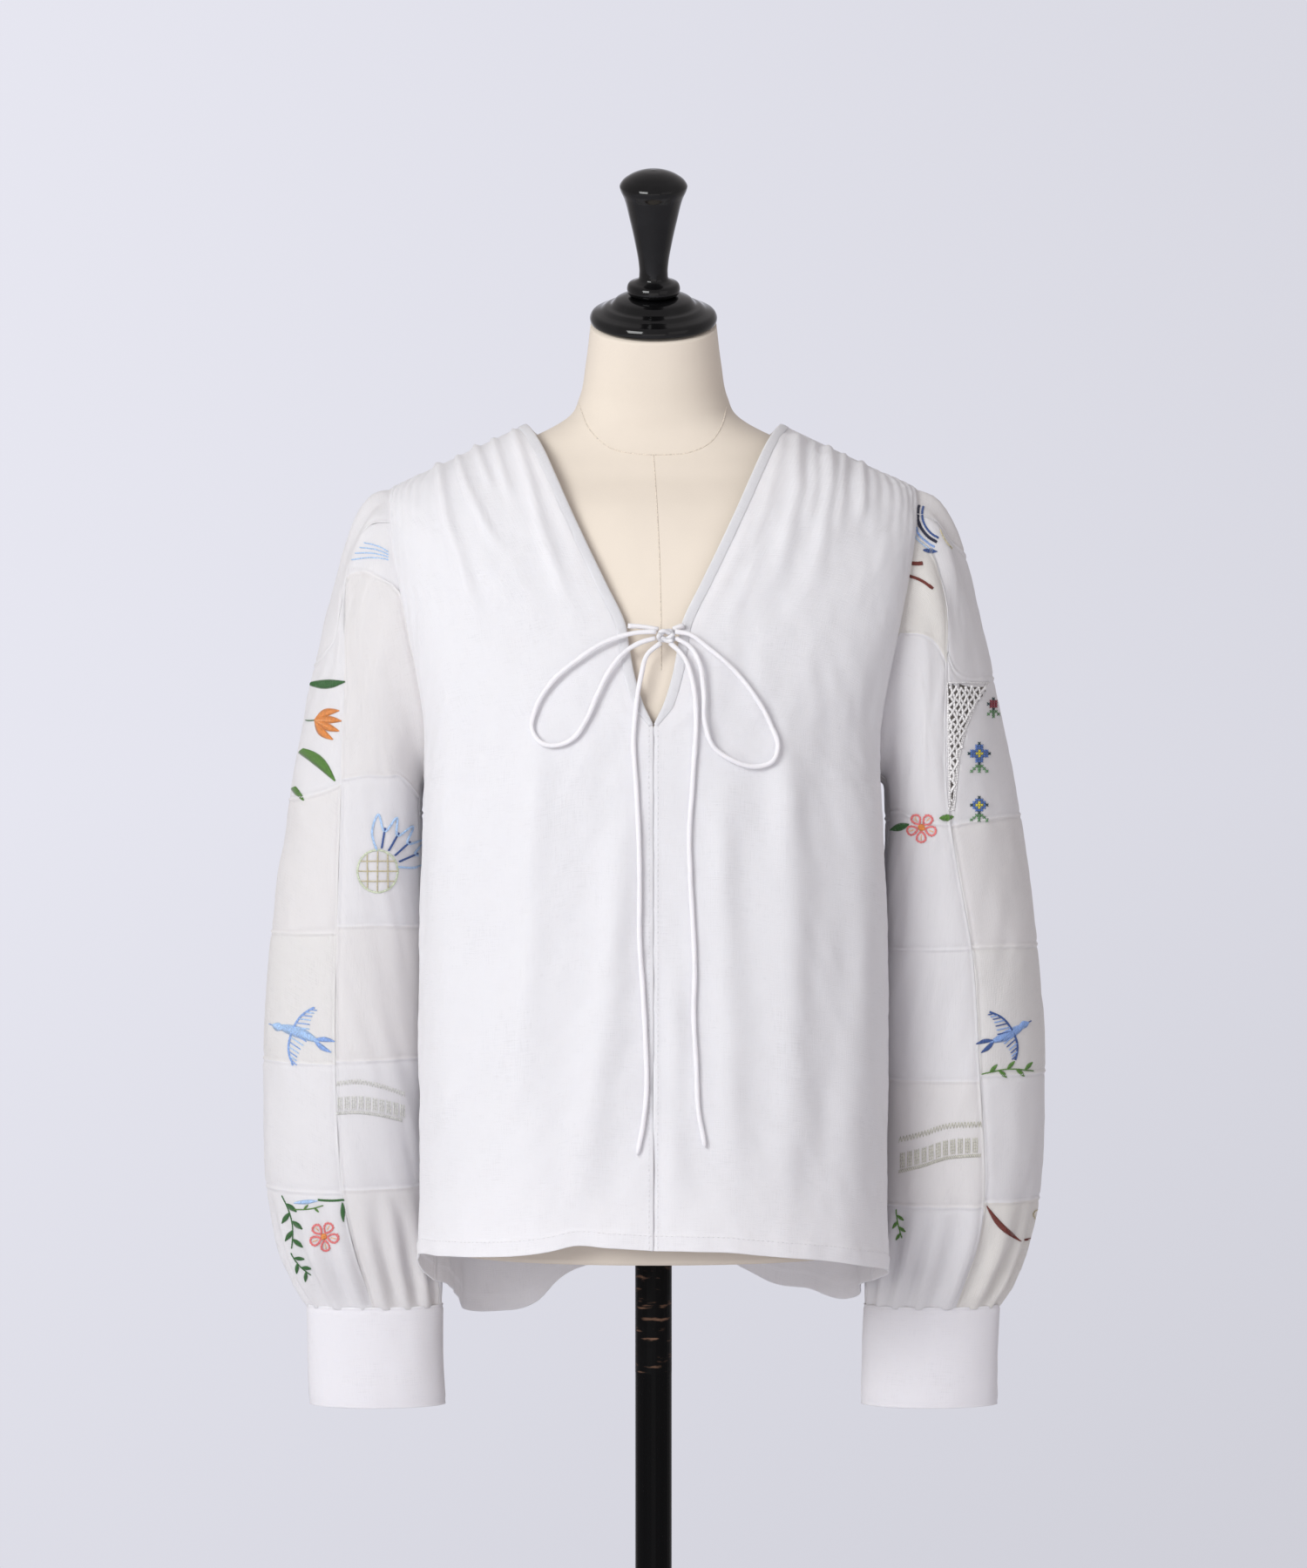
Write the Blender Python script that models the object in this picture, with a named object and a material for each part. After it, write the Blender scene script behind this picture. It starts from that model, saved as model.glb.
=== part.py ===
"""A long-sleeved linen blouse with a tied V neck and patchwork bishop sleeves, on a limbless dress form.

The frame has +Z up, the front of the blouse facing -Y, and its origin on the floor under the pole.
All sizes below are millimetres; each mesh is scaled to metres when it is made.
The blouse is one thin surface, described by functions. Each sewn piece is a stretch of it, thickened to a wall.
Neighbouring pieces share their points and wall direction at a seam, then draw back to leave a fine gap.
"""

import math

import bpy
import numpy as np

MM = 0.001
CLOTH = 1.4
CUFF_CLOTH = 2.0
BINDING_CLOTH = 1.0
SEAM_DRAWBACK = 0.2
SEAM_GAP = 0.3
LONGEST_MITRE = 3.2
SAME_POINT = 0.05

# Heights of the garment, as shares of the way from the hem (0) to the shoulder seam (1)
UNDERARM = 0.42
MID_ARMHOLE = 0.64

# Rows of each panel: hem to underarm, underarm to mid armhole, mid armhole to shoulder
LOWER_ROWS = 7
ARMHOLE_LOW_ROWS = 6
ARMHOLE_HIGH_ROWS = 8
PANEL_COLUMNS = 11
GATHER_COLUMNS = 30
GATHER_ROWS = 4

# Sleeve columns of patches: where each seam runs round the sleeve, in degrees, 0 on top and -90 at the front
SLEEVE_SEAMS = {
    "front_outer": (-78.75, 11.25),
    "back_outer": (11.25, 105.0),
    "back_inner": (105.0, 195.0),
    "front_inner": (195.0, 281.25),
}
HEAD_GATHERS = 14
CUFF_GATHERS = 16

BINDING_WIDTH = 6.0
TIE_DIAMETER = 3.2
TIE_STEP = 9.5

LINEN = (0.86, 0.85, 0.87)
PATCH_LINEN = (0.83, 0.81, 0.82)
FORM_CREAM = (0.80, 0.73, 0.64)
LACQUER = (0.012, 0.012, 0.013)
POLE_BLACK = (0.02, 0.02, 0.022)


class Table:
    """Rows of named columns, read between the rows along a smooth curve. The first column is the key."""

    def __init__(self, columns, rows):
        self.names = columns
        self.rows = np.array(rows, float)
        self.keys = self.rows[:, 0]
        self.slopes = np.gradient(self.rows, self.keys, axis=0)

    def read(self, name, key):
        column = self.names.index(name)
        key = np.clip(np.asarray(key, float), self.keys[0], self.keys[-1])
        low = np.clip(np.searchsorted(self.keys, key, side="right") - 1, 0, len(self.keys) - 2)
        span = self.keys[low + 1] - self.keys[low]
        part = (key - self.keys[low]) / span
        start, end = self.rows[low, column], self.rows[low + 1, column]
        start_slope = self.slopes[low, column] * span
        end_slope = self.slopes[low + 1, column] * span
        square, cube = part**2, part**3
        return (
            (2 * cube - 3 * square + 1) * start
            + (cube - 2 * square + part) * start_slope
            + (3 * square - 2 * cube) * end
            + (cube - square) * end_slope
        )


# Front panel's inner edge: centre seam up to the slit, then the slit and the V of the neck
FRONT_EDGE = Table(
    ("share", "x", "y", "z", "squareness"),
    [
        (0.0000, 0.0, -138.0, 793.0, 2.60),
        (0.1400, 0.0, -136.5, 893.0, 2.60),
        (0.2800, 0.0, -135.0, 996.0, 2.60),
        (0.4200, 0.0, -134.5, 1098.0, 2.55),
        (0.4933, 0.0, -133.5, 1125.0, 2.32),
        (0.5300, 0.0, -132.5, 1137.0, 2.20),
        (0.5667, 7.5, -130.0, 1153.0, 2.10),
        (0.6033, 13.0, -126.0, 1171.0, 2.02),
        (0.6400, 16.5, -121.0, 1189.0, 1.96),
        (0.6850, 20.0, -116.0, 1208.0, 1.94),
        (0.7300, 32.5, -108.5, 1234.0, 1.93),
        (0.7750, 45.0, -98.0, 1260.0, 1.92),
        (0.8200, 56.5, -85.0, 1285.0, 1.88),
        (0.8650, 66.5, -69.0, 1308.0, 1.80),
        (0.9100, 75.5, -50.0, 1328.0, 1.68),
        (0.9550, 83.0, -26.0, 1341.0, 1.42),
        (1.0000, 88.0, 8.0, 1348.0, 1.10),
    ],
)

# Back panel's inner edge: centre back up to the neck, then the back neckline to the shoulder
BACK_NECK = 0.82
BACK_EDGE = Table(
    ("share", "x", "y", "z", "squareness"),
    [
        (0.0000, 0.0, 128.0, 755.0, 2.50),
        (0.1400, 0.0, 122.0, 868.0, 2.50),
        (0.2800, 0.0, 114.0, 984.0, 2.50),
        (0.4200, 0.0, 108.0, 1098.0, 2.42),
        (0.4933, 0.0, 109.0, 1128.0, 2.05),
        (0.5667, 0.0, 111.0, 1160.0, 1.80),
        (0.6400, 0.0, 112.0, 1195.0, 1.66),
        (0.7300, 0.0, 110.5, 1243.0, 1.68),
        (0.7750, 0.0, 103.0, 1286.0, 1.82),
        (0.8200, 0.0, 89.5, 1323.0, 1.94),
        (0.8650, 34.0, 83.5, 1327.0, 1.86),
        (0.9100, 60.0, 67.5, 1333.5, 1.70),
        (0.9550, 79.0, 42.5, 1341.5, 1.42),
        (1.0000, 88.0, 8.0, 1348.0, 1.10),
    ],
)

# Side seam below the arm, and how far the hanging sleeve presses the side in
SIDE_EDGE = Table(
    ("share", "x", "y", "z", "press", "press_y", "reach"),
    [
        (0.00, 150.0, 6.0, 757.0, 21.0, 33.0, 28.0),
        (0.14, 151.0, 6.0, 873.0, 17.0, 31.0, 28.0),
        (0.28, 150.0, 6.0, 990.0, 16.0, 24.0, 30.0),
        (0.36, 149.0, 6.0, 1055.0, 16.0, 14.0, 36.0),
        (0.42, 150.0, 6.0, 1105.0, 16.0, 6.0, 44.0),
        (0.50, 150.0, 6.0, 1105.0, 14.0, 6.0, 52.0),
        (0.64, 150.0, 6.0, 1105.0, 6.0, 6.0, 56.0),
        (0.80, 150.0, 6.0, 1105.0, 0.0, 6.0, 56.0),
        (1.00, 150.0, 6.0, 1105.0, 0.0, 6.0, 56.0),
    ],
)

# How far the hem stands above or below an even curve, by share of the way from the centre to the side
HEM_DIP = Table(
    ("share", "front_left", "front_right", "back_left", "back_right"),
    [
        (0.00, 0.0, 0.0, 2.0, 2.0),
        (0.12, 2.5, 0.0, 1.0, 4.0),
        (0.20, 4.5, 0.0, -1.0, 3.5),
        (0.26, 1.5, -1.0, -9.0, -4.0),
        (0.32, 0.0, -1.5, -25.0, -12.0),
        (0.45, 0.5, -2.0, -32.0, -15.0),
        (0.60, 4.0, -3.0, -26.0, -20.0),
        (0.78, 9.0, -1.0, -12.0, -10.0),
        (0.90, 4.0, 0.0, -4.0, -4.0),
        (1.00, 0.0, 0.0, 0.0, 0.0),
    ],
)

# Sleeve rings, from the armhole to the cuff: the ring's outer and inner points, centre and half depth
SLEEVE = Table(
    ("ring", "outer_x", "outer_z", "inner_x", "inner_z", "centre_y", "half_depth"),
    [
        (0, 180.0, 1304.0, 150.0, 1105.0, 6.0, 60.0),
        (1, 195.0, 1296.0, 158.5, 1100.5, 6.5, 61.5),
        (2, 208.0, 1274.0, 160.5, 1088.0, 7.5, 62.0),
        (3, 219.0, 1240.0, 160.5, 1070.0, 9.5, 62.0),
        (4, 229.0, 1200.0, 160.0, 1050.0, 12.0, 61.5),
        (5, 238.0, 1158.0, 159.0, 1028.0, 15.0, 60.5),
        (6, 247.0, 1114.0, 157.5, 1003.0, 18.0, 59.5),
        (7, 255.0, 1066.0, 157.0, 974.0, 21.0, 59.0),
        (8, 263.0, 1013.0, 156.5, 941.0, 24.0, 58.5),
        (9, 269.0, 956.0, 156.0, 905.0, 27.0, 58.5),
        (10, 271.5, 899.0, 156.0, 868.0, 29.5, 58.5),
        (11, 271.0, 850.0, 155.5, 834.0, 31.5, 57.0),
        (12, 267.0, 810.0, 154.0, 802.0, 33.0, 52.0),
        (13, 259.0, 778.0, 151.5, 775.0, 34.0, 43.0),
        (14, 248.5, 754.0, 149.0, 753.0, 34.5, 32.0),
        (15, 240.0, 737.0, 148.0, 737.0, 35.0, 24.0),
    ],
)
SLEEVE_RINGS = 15
ARMHOLE_BOW = 6.0

CUFF_TOP, CUFF_BOTTOM = 735.8, 668.5
CUFF = Table(
    ("drop", "centre_x", "half_width", "centre_y", "half_depth"),
    [(0.0, 194.0, 46.6, 35.0, 24.6), (0.5, 193.0, 46.2, 35.0, 25.4), (1.0, 192.0, 46.6, 35.0, 26.0)],
)

# Dress form: level slices of the torso, tilting into the cut plane of the neck
FORM = Table(
    ("height", "half_width", "centre_y", "half_depth", "tilt"),
    [
        (780.0, 140.0, -5.0, 101.0, 0.0),
        (840.0, 145.0, -3.0, 106.0, 0.0),
        (900.0, 137.0, -1.0, 99.0, 0.0),
        (960.0, 122.0, -3.0, 89.0, 0.0),
        (1010.0, 120.0, -6.0, 90.0, 0.0),
        (1060.0, 130.0, -12.0, 100.0, 0.0),
        (1110.0, 142.0, -17.0, 110.0, 0.0),
        (1150.0, 146.0, -13.5, 110.5, 0.0),
        (1200.0, 149.0, -5.5, 106.5, 0.0),
        (1240.0, 155.0, 1.5, 101.0, 0.0),
        (1270.0, 163.0, 7.0, 94.0, 0.0),
        (1288.0, 169.0, 10.0, 85.5, 0.0),
        (1298.0, 168.0, 11.5, 78.0, 0.0),
        (1306.0, 159.0, 12.5, 72.0, 0.0),
        (1315.0, 143.0, 13.0, 67.0, 0.0),
        (1324.0, 122.0, 13.0, 62.0, 0.0),
        (1333.0, 100.0, 11.0, 57.0, 0.0),
        (1342.0, 78.0, 7.5, 53.0, 2.0),
        (1354.0, 57.5, 2.5, 49.5, 6.0),
        (1366.0, 51.0, -2.5, 46.5, 12.0),
        (1388.0, 46.5, -11.5, 44.5, 20.0),
        (1414.3, 43.0, -22.0, 43.0, 23.0),
    ],
)
FORM_SQUARENESS = 2.2
FORM_SIDES = 32
NECK_TILT = math.radians(23.0)
NECK_TOP = (0.0, -22.0, 1414.7)

# Turned profiles, radius against height above the neck's cut plane
CAP_PROFILE = [
    (40.5, 0.0), (43.0, 2.0), (43.5, 5.0), (42.0, 8.0), (38.5, 9.6), (36.5, 10.4), (33.0, 12.6), (29.0, 14.0),
    (27.8, 15.4), (25.8, 17.4), (22.0, 19.0), (18.5, 20.0),
]
FINIAL_PROFILE = [
    (15.0, 20.3), (17.4, 22.0), (18.2, 25.0), (17.2, 28.4), (13.0, 30.4), (10.4, 32.0), (9.8, 36.0), (10.2, 43.0),
    (12.4, 56.0), (16.2, 73.5), (20.2, 89.0), (22.6, 94.6), (23.0, 96.8), (21.8, 99.2), (16.5, 103.6), (8.5, 106.8),
]
FINIAL_TOP = 107.8
TURNED_SIDES = 26

POLE_RADIUS = 12.6
POLE_TOP = 779.7
BASE_PROFILE = [(172.0, 0.0), (175.0, 3.0), (174.0, 7.0), (168.0, 10.0), (60.0, 14.0), (34.0, 18.0), (22.0, 26.0)]
BASE_TOP = 28.0
BASE_SIDES = 32

# The bow: each strand's points across and up, and how far it stands off the cloth
KNOT_CENTRE = (8.0, 1198.0)
KNOT_LIFT = 7.2
KNOT_RADII = (6.2, 4.2, 4.4)
TIE_ROUTES = {
    "tie_root_left": [(-17.0, 1204.5, 4.8), (-8.0, 1204.0, 4.4), (3.3, 1202.1, 5.8)],
    "tie_root_right": [(20.0, 1204.5, 4.8), (17.0, 1204.0, 4.4), (13.1, 1202.3, 5.8)],
    "tie_loop_left": [
        (1.7, 1200.6, 8.4), (-9.8, 1200.0, 8.8), (-30.0, 1194.6, 7.5), (-50.2, 1182.0, 6.5), (-67.5, 1167.0, 5.5),
        (-77.9, 1149.6, 5.0), (-80.2, 1135.8, 4.6), (-73.9, 1127.1, 4.4), (-64.0, 1125.4, 4.4), (-52.5, 1130.6, 4.6),
        (-44.4, 1142.1, 5.0), (-37.5, 1157.7, 5.5), (-27.7, 1176.7, 6.2), (-17.3, 1188.3, 7.0), (-8.0, 1193.5, 7.4),
        (1.3, 1196.2, 7.6),
    ],
    "tie_loop_right": [
        (14.3, 1200.6, 8.4), (23.0, 1199.0, 8.8), (36.4, 1189.4, 8.0), (51.9, 1176.2, 7.0), (65.8, 1159.4, 6.0),
        (76.7, 1140.4, 5.2), (81.9, 1124.2, 4.8), (79.0, 1115.6, 4.6), (68.0, 1111.5, 4.6), (51.9, 1115.6, 4.8),
        (38.7, 1125.4, 5.2), (34.0, 1139.2, 5.8), (33.0, 1162.3, 6.6), (29.8, 1180.8, 7.4), (23.5, 1191.0, 7.8),
        (14.7, 1196.2, 7.6),
    ],
    "tie_end_left": [
        (4.7, 1193.1, 7.2), (-4.0, 1185.5, 7.0), (-8.0, 1172.0, 6.0), (-11.5, 1150.7, 4.6), (-13.2, 1128.7, 3.3),
        (-11.5, 1100.0, 3.0), (-9.8, 1065.6, 2.9), (-9.2, 1036.9, 2.9), (-9.2, 996.8, 2.9), (-6.9, 962.4, 2.9),
        (-5.2, 928.0, 2.9), (-4.6, 899.3, 2.9), (-6.9, 876.3, 2.9), (-10.9, 856.3, 3.0),
    ],
    "tie_end_right": [
        (11.0, 1193.0, 7.2), (19.5, 1184.5, 7.0), (26.0, 1165.5, 6.0), (28.0, 1140.5, 4.4), (26.5, 1114.4, 3.3),
        (25.3, 1094.3, 3.0), (23.5, 1068.5, 2.9), (24.1, 1039.9, 2.9), (25.8, 1008.4, 2.9), (27.0, 979.8, 2.9),
        (26.4, 948.2, 2.9), (28.1, 913.8, 2.9), (29.2, 888.0, 2.9), (33.8, 861.2, 3.0),
    ],
}


def smooth_step(low, high, value):
    """0 below low, 1 above high, and a smooth rise between them."""
    part = np.clip((value - low) / (high - low), 0.0, 1.0)
    return part * part * (3 - 2 * part)


def armhole_turn(share, facing):
    """The angle round the armhole that a panel's row ends at. facing is -1 for the front and 1 for the back."""
    low = 180.0 - 90.0 * np.clip((share - UNDERARM) / (MID_ARMHOLE - UNDERARM), 0.0, 1.0)
    high = 90.0 * np.clip((share - MID_ARMHOLE) / (1.0 - MID_ARMHOLE), 0.0, 1.0)
    return facing * (low - high)


def sleeve_ring(side, ring, turn):
    """A point of the sleeve without its gathers: turn is in degrees, 0 on top, -90 at the front."""
    across, depth = np.cos(np.radians(turn)), np.sin(np.radians(turn))
    outer_x, inner_x = SLEEVE.read("outer_x", ring), SLEEVE.read("inner_x", ring)
    outer_z, inner_z = SLEEVE.read("outer_z", ring), SLEEVE.read("inner_z", ring)
    bow = ARMHOLE_BOW * depth**2 * across * (1.0 - smooth_step(0.0, 3.0, ring))
    x = (outer_x + inner_x) / 2 + (outer_x - inner_x) / 2 * across + bow
    y = SLEEVE.read("centre_y", ring) + SLEEVE.read("half_depth", ring) * depth
    z = (outer_z + inner_z) / 2 + (outer_z - inner_z) / 2 * across
    return np.stack([side * x, y, z], axis=-1)


def sleeve_gather(side, ring, turn):
    """How far the gathers at the head and above the cuff stand out."""
    head = smooth_step(0.0, 1.0, ring) * (1.0 - smooth_step(1.5, 3.6, ring))
    head = head * smooth_step(-0.2, 0.5, np.cos(np.radians(turn)))
    above_cuff = smooth_step(11.2, 13.6, ring) * (1.0 - 0.62 * smooth_step(14.0, 15.0, ring))
    head_wave = np.cos(np.radians(HEAD_GATHERS * turn + 30.0 * side))
    cuff_wave = np.cos(np.radians(CUFF_GATHERS * turn) + 0.9 * np.sin(np.radians(3 * turn + 40 * side)))
    drape = np.sin(np.radians(2 * turn + 30 * side)) * np.sin(ring * 0.55 + side)
    drape = drape * smooth_step(1.0, 5.0, ring) * (1.0 - smooth_step(10.0, 13.0, ring))
    return 1.6 * head * head_wave + 2.4 * above_cuff * cuff_wave + 1.2 * drape


def side_edge(share, facing):
    """Where a panel's row ends: the side seam, then the armhole."""
    side = np.stack([SIDE_EDGE.read(name, share) for name in ("x", "y", "z")], axis=-1)
    arm = sleeve_ring(1, np.zeros_like(share), armhole_turn(share, facing))
    return np.where((share <= UNDERARM)[..., None], side, arm)


def panel_fold(side, facing, across, share):
    """How far the folds of the front or the back stand out."""
    inside = np.sin(np.pi * np.clip(across, 0, 1)) ** 0.8
    hang = 1.0 - smooth_step(0.0, 0.50, share)
    phase = 0.9 * side + 1.7 * facing
    hem = np.sin(across * 15.0 + phase) * 3.4 + np.sin(across * 8.0 - 2.0 * phase) * 3.0
    seam = across * across
    gather = np.cos(2 * np.pi * (9.0 * seam + 0.06 * np.sin(11.0 * across + side)) + side)
    reach = smooth_step(0.76, 0.94, share) * (1 - smooth_step(0.96, 1.0, share))
    reach = reach * smooth_step(0.09, 0.20, across) * (1 - smooth_step(0.93, 1.0, across))
    return hem * inside * hang + 1.7 * gather * reach


def panel_point(side, facing, across, share):
    """A point of the front (facing -1) or back (facing 1) without its folds. across is 0 at the centre, 1 at the side."""
    across, share = np.broadcast_arrays(np.asarray(across, float), np.asarray(share, float))
    edge = FRONT_EDGE if facing < 0 else BACK_EDGE
    start = np.stack([edge.read(name, share) for name in ("x", "y", "z")], axis=-1)
    end = side_edge(share, facing)
    squareness = edge.read("squareness", share)
    turn = across * math.pi / 2
    ahead, aside = np.cos(turn).clip(0.0, 1.0), np.sin(turn)
    reach_out = (ahead**squareness + aside**squareness) ** (-1.0 / squareness)
    along = aside * reach_out
    back = 1.0 - ahead * reach_out
    level = (1.0 - share) * across**2 + share * along
    press, press_y = SIDE_EDGE.read("press", share), SIDE_EDGE.read("press_y", share)
    y = start[..., 1] + (end[..., 1] - start[..., 1]) * back
    reach = SIDE_EDGE.read("reach", share)

    def pressed(depth):
        return press * np.exp(-0.5 * ((depth - press_y) / reach) ** 2)

    inner_x = start[..., 0] + pressed(start[..., 1])
    outer_x = end[..., 0] + pressed(end[..., 1])
    x = inner_x + (outer_x - inner_x) * along - pressed(y)
    quarter = ("front" if facing < 0 else "back") + ("_left" if side < 0 else "_right")
    dip = HEM_DIP.read(quarter, across) * (1.0 - share / UNDERARM).clip(0, 1) ** 2
    z = start[..., 2] + (end[..., 2] - start[..., 2]) * level + dip
    return np.stack([side * x, y, z], axis=-1)


def unit(vectors):
    return vectors / np.maximum(np.linalg.norm(vectors, axis=-1, keepdims=True), 1e-12)


def facing_out(surface, u, v, flip):
    """The direction out of a surface at (u, v), from its neighbouring points."""
    step = 1e-3
    high_u, low_u = np.minimum(u + step, surface.u_range[1]), np.maximum(u - step, surface.u_range[0])
    high_v, low_v = np.minimum(v + step, surface.v_range[1]), np.maximum(v - step, surface.v_range[0])
    along_u = surface.base(high_u, v) - surface.base(low_u, v)
    along_v = surface.base(u, high_v) - surface.base(u, low_v)
    return flip * unit(np.cross(along_u, along_v))


class Surface:
    """A stretch of cloth as a function of two shares, with folds added along its own outward direction."""

    def __init__(self, base, fold, u_range, v_range, flip):
        self.base, self.fold = base, fold
        self.u_range, self.v_range, self.flip = u_range, v_range, flip

    def point(self, u, v):
        outward = facing_out(self, u, v, self.flip)
        return self.base(u, v) + outward * self.fold(u, v)[..., None]


def panel_surface(side, facing):
    return Surface(
        lambda across, share: panel_point(side, facing, across, share),
        lambda across, share: panel_fold(side, facing, across, share),
        (0.0, 1.0),
        (0.0, 1.0),
        side * -facing,
    )


def sleeve_surface(side):
    return Surface(
        lambda turn, ring: sleeve_ring(side, ring, turn),
        lambda turn, ring: sleeve_gather(side, ring, turn),
        (-400.0, 400.0),
        (0.0, float(SLEEVE_RINGS)),
        -side,
    )


class Sheet:
    """The middle surface of one piece of cloth: points, and triangles that face out."""

    def __init__(self, name, thickness, colour):
        self.name, self.thickness, self.colour = name, thickness, colour
        self.points = np.zeros((0, 3))
        self.triangles = []

    def add_rows(self, rows, reverse):
        """Joins rows of points, which may differ in number, with strips of triangles."""
        start = len(self.points)
        firsts = start + np.concatenate([[0], np.cumsum([len(row) for row in rows])])
        self.points = np.vstack([self.points, *rows])
        for low, (below, above) in enumerate(zip(rows, rows[1:])):
            self.add_strip(firsts[low], len(below), firsts[low + 1], len(above), reverse)

    def add_strip(self, below, below_count, above, above_count, reverse):
        i = j = 0
        while i < below_count - 1 or j < above_count - 1:
            next_below = (i + 1) / (below_count - 1)
            next_above = (j + 1) / (above_count - 1)
            step_below = j == above_count - 1 or (i < below_count - 1 and next_below <= next_above)
            if step_below:
                corners = (below + i, below + i + 1, above + j)
                i += 1
            else:
                corners = (below + i, above + j + 1, above + j)
                j += 1
            self.triangles.append(corners[::-1] if reverse else corners)

    def weld(self):
        """Makes one point of those that lie together, as along the centre of the back."""
        _, first, index = np.unique(
            np.round(self.points / 0.01).astype(int), axis=0, return_index=True, return_inverse=True
        )
        self.points = self.points[first]
        triangles = index.reshape(-1)[np.array(self.triangles)]
        whole = (
            (triangles[:, 0] != triangles[:, 1])
            & (triangles[:, 1] != triangles[:, 2])
            & (triangles[:, 0] != triangles[:, 2])
        )
        self.triangles = triangles[whole]

    def find_rim(self):
        """The edges that belong to one triangle only, each in its triangle's direction."""
        edges = np.concatenate([self.triangles[:, [0, 1]], self.triangles[:, [1, 2]], self.triangles[:, [2, 0]]])
        _, index, count = np.unique(np.sort(edges, axis=1), axis=0, return_inverse=True, return_counts=True)
        single = np.flatnonzero(count[index.reshape(-1)] == 1)
        self.rim = edges[single]
        self.rim_triangles = single % len(self.triangles)

    def find_outward(self):
        corners = self.points[self.triangles]
        across = np.cross(corners[:, 1] - corners[:, 0], corners[:, 2] - corners[:, 0])
        self.outward = np.zeros_like(self.points)
        for corner in range(3):
            np.add.at(self.outward, self.triangles[:, corner], across)
        self.outward = unit(self.outward)
        self.facings = unit(across)

    def find_drawback(self):
        """At each rim point, the small step away from the piece's edges there, square to the wall's rim."""
        steps = unit(self.points[self.rim[:, 1]] - self.points[self.rim[:, 0]])
        inside = np.cross(self.facings[self.rim_triangles], steps)
        inward = np.zeros_like(self.points)
        for end in (0, 1):
            np.add.at(inward, self.rim[:, end], inside)
        length = np.linalg.norm(inward, axis=1, keepdims=True)
        wall = unit(self.outward)
        inward -= wall * (inward * wall).sum(axis=1, keepdims=True)
        self.drawback = unit(inward) * SEAM_DRAWBACK * 2 / np.maximum(length, 0.8)

    def solid(self):
        """The wall: both skins and the rim that closes them."""
        half = self.outward * self.thickness / 2
        count = len(self.points)
        points = np.vstack([self.points + half, self.points - half])
        faces = [tuple(t) for t in self.triangles]
        faces += [tuple(t[::-1] + count) for t in self.triangles]
        faces += [(b, a, a + count, b + count) for a, b in self.rim]
        return points, faces


def mitre(facings):
    """The step that moves a shared point one wall thickness out of every piece that meets there."""
    step = np.linalg.pinv(facings, rcond=0.2) @ np.ones(len(facings))
    return step * min(1.0, LONGEST_MITRE / np.linalg.norm(step))


def place_seams(sheets):
    """Gives pieces that share a seam the same wall direction along it, then draws each back from it."""
    for sheet in sheets:
        sheet.weld()
        sheet.find_rim()
        sheet.find_outward()
    rims = [np.unique(sheet.rim) for sheet in sheets]
    places = np.vstack([sheet.points[rim] for sheet, rim in zip(sheets, rims)])
    facings = np.vstack([sheet.outward[rim] for sheet, rim in zip(sheets, rims)])
    for sheet, rim in zip(sheets, rims):
        near = [np.linalg.norm(places - sheet.points[point], axis=1) < SAME_POINT for point in rim]
        seam = [(point, facings[others]) for point, others in zip(rim, near) if others.sum() > 1]
        for point, shared in seam:
            sheet.outward[point] = mitre(shared)
        sheet.find_drawback()
        for point, _ in seam:
            sheet.points[point] += sheet.drawback[point]


def material(name, colour, roughness, metallic=0.0):
    made = bpy.data.materials.new(name)
    made.use_nodes = True
    shader = made.node_tree.nodes["Principled BSDF"]
    shader.inputs["Base Color"].default_value = (*colour, 1.0)
    shader.inputs["Roughness"].default_value = roughness
    shader.inputs["Metallic"].default_value = metallic
    return made


def add_mesh(name, points, faces, colour, roughness, metallic=0.0):
    """A named object from points in millimetres."""
    mesh = bpy.data.meshes.new(name)
    mesh.from_pydata((np.asarray(points) * MM).tolist(), [], [[int(i) for i in face] for face in faces])
    mesh.update()
    mesh.shade_smooth()
    mesh.set_sharp_from_angle(angle=math.radians(40))
    mesh.materials.append(material(name, colour, roughness, metallic))
    made = bpy.data.objects.new(name, mesh)
    bpy.context.scene.collection.objects.link(made)
    return made


def panel_shares():
    """The heights of a panel's rows."""
    lower = np.linspace(0.0, UNDERARM, LOWER_ROWS + 1)
    middle = np.linspace(UNDERARM, MID_ARMHOLE, ARMHOLE_LOW_ROWS + 1)
    upper = np.linspace(MID_ARMHOLE, 1.0, ARMHOLE_HIGH_ROWS + 1)
    return np.concatenate([lower, middle[1:], upper[1:]])


def panel_rows(side, facing):
    surface = panel_surface(side, facing)
    shares = panel_shares()
    rows = []
    for number, share in enumerate(shares):
        columns = GATHER_COLUMNS if number >= len(shares) - GATHER_ROWS else PANEL_COLUMNS
        across = np.linspace(0.0, 1.0, columns + 1)
        rows.append(surface.point(across, np.full_like(across, share)))
    return rows


def front_sheet(side, name):
    sheet = Sheet(name, CLOTH, LINEN)
    sheet.add_rows(panel_rows(side, -1), reverse=side < 0)
    return sheet


def back_sheet():
    sheet = Sheet("back", CLOTH, LINEN)
    for side in (-1, 1):
        sheet.add_rows(panel_rows(side, 1), reverse=side > 0)
    return sheet


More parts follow.
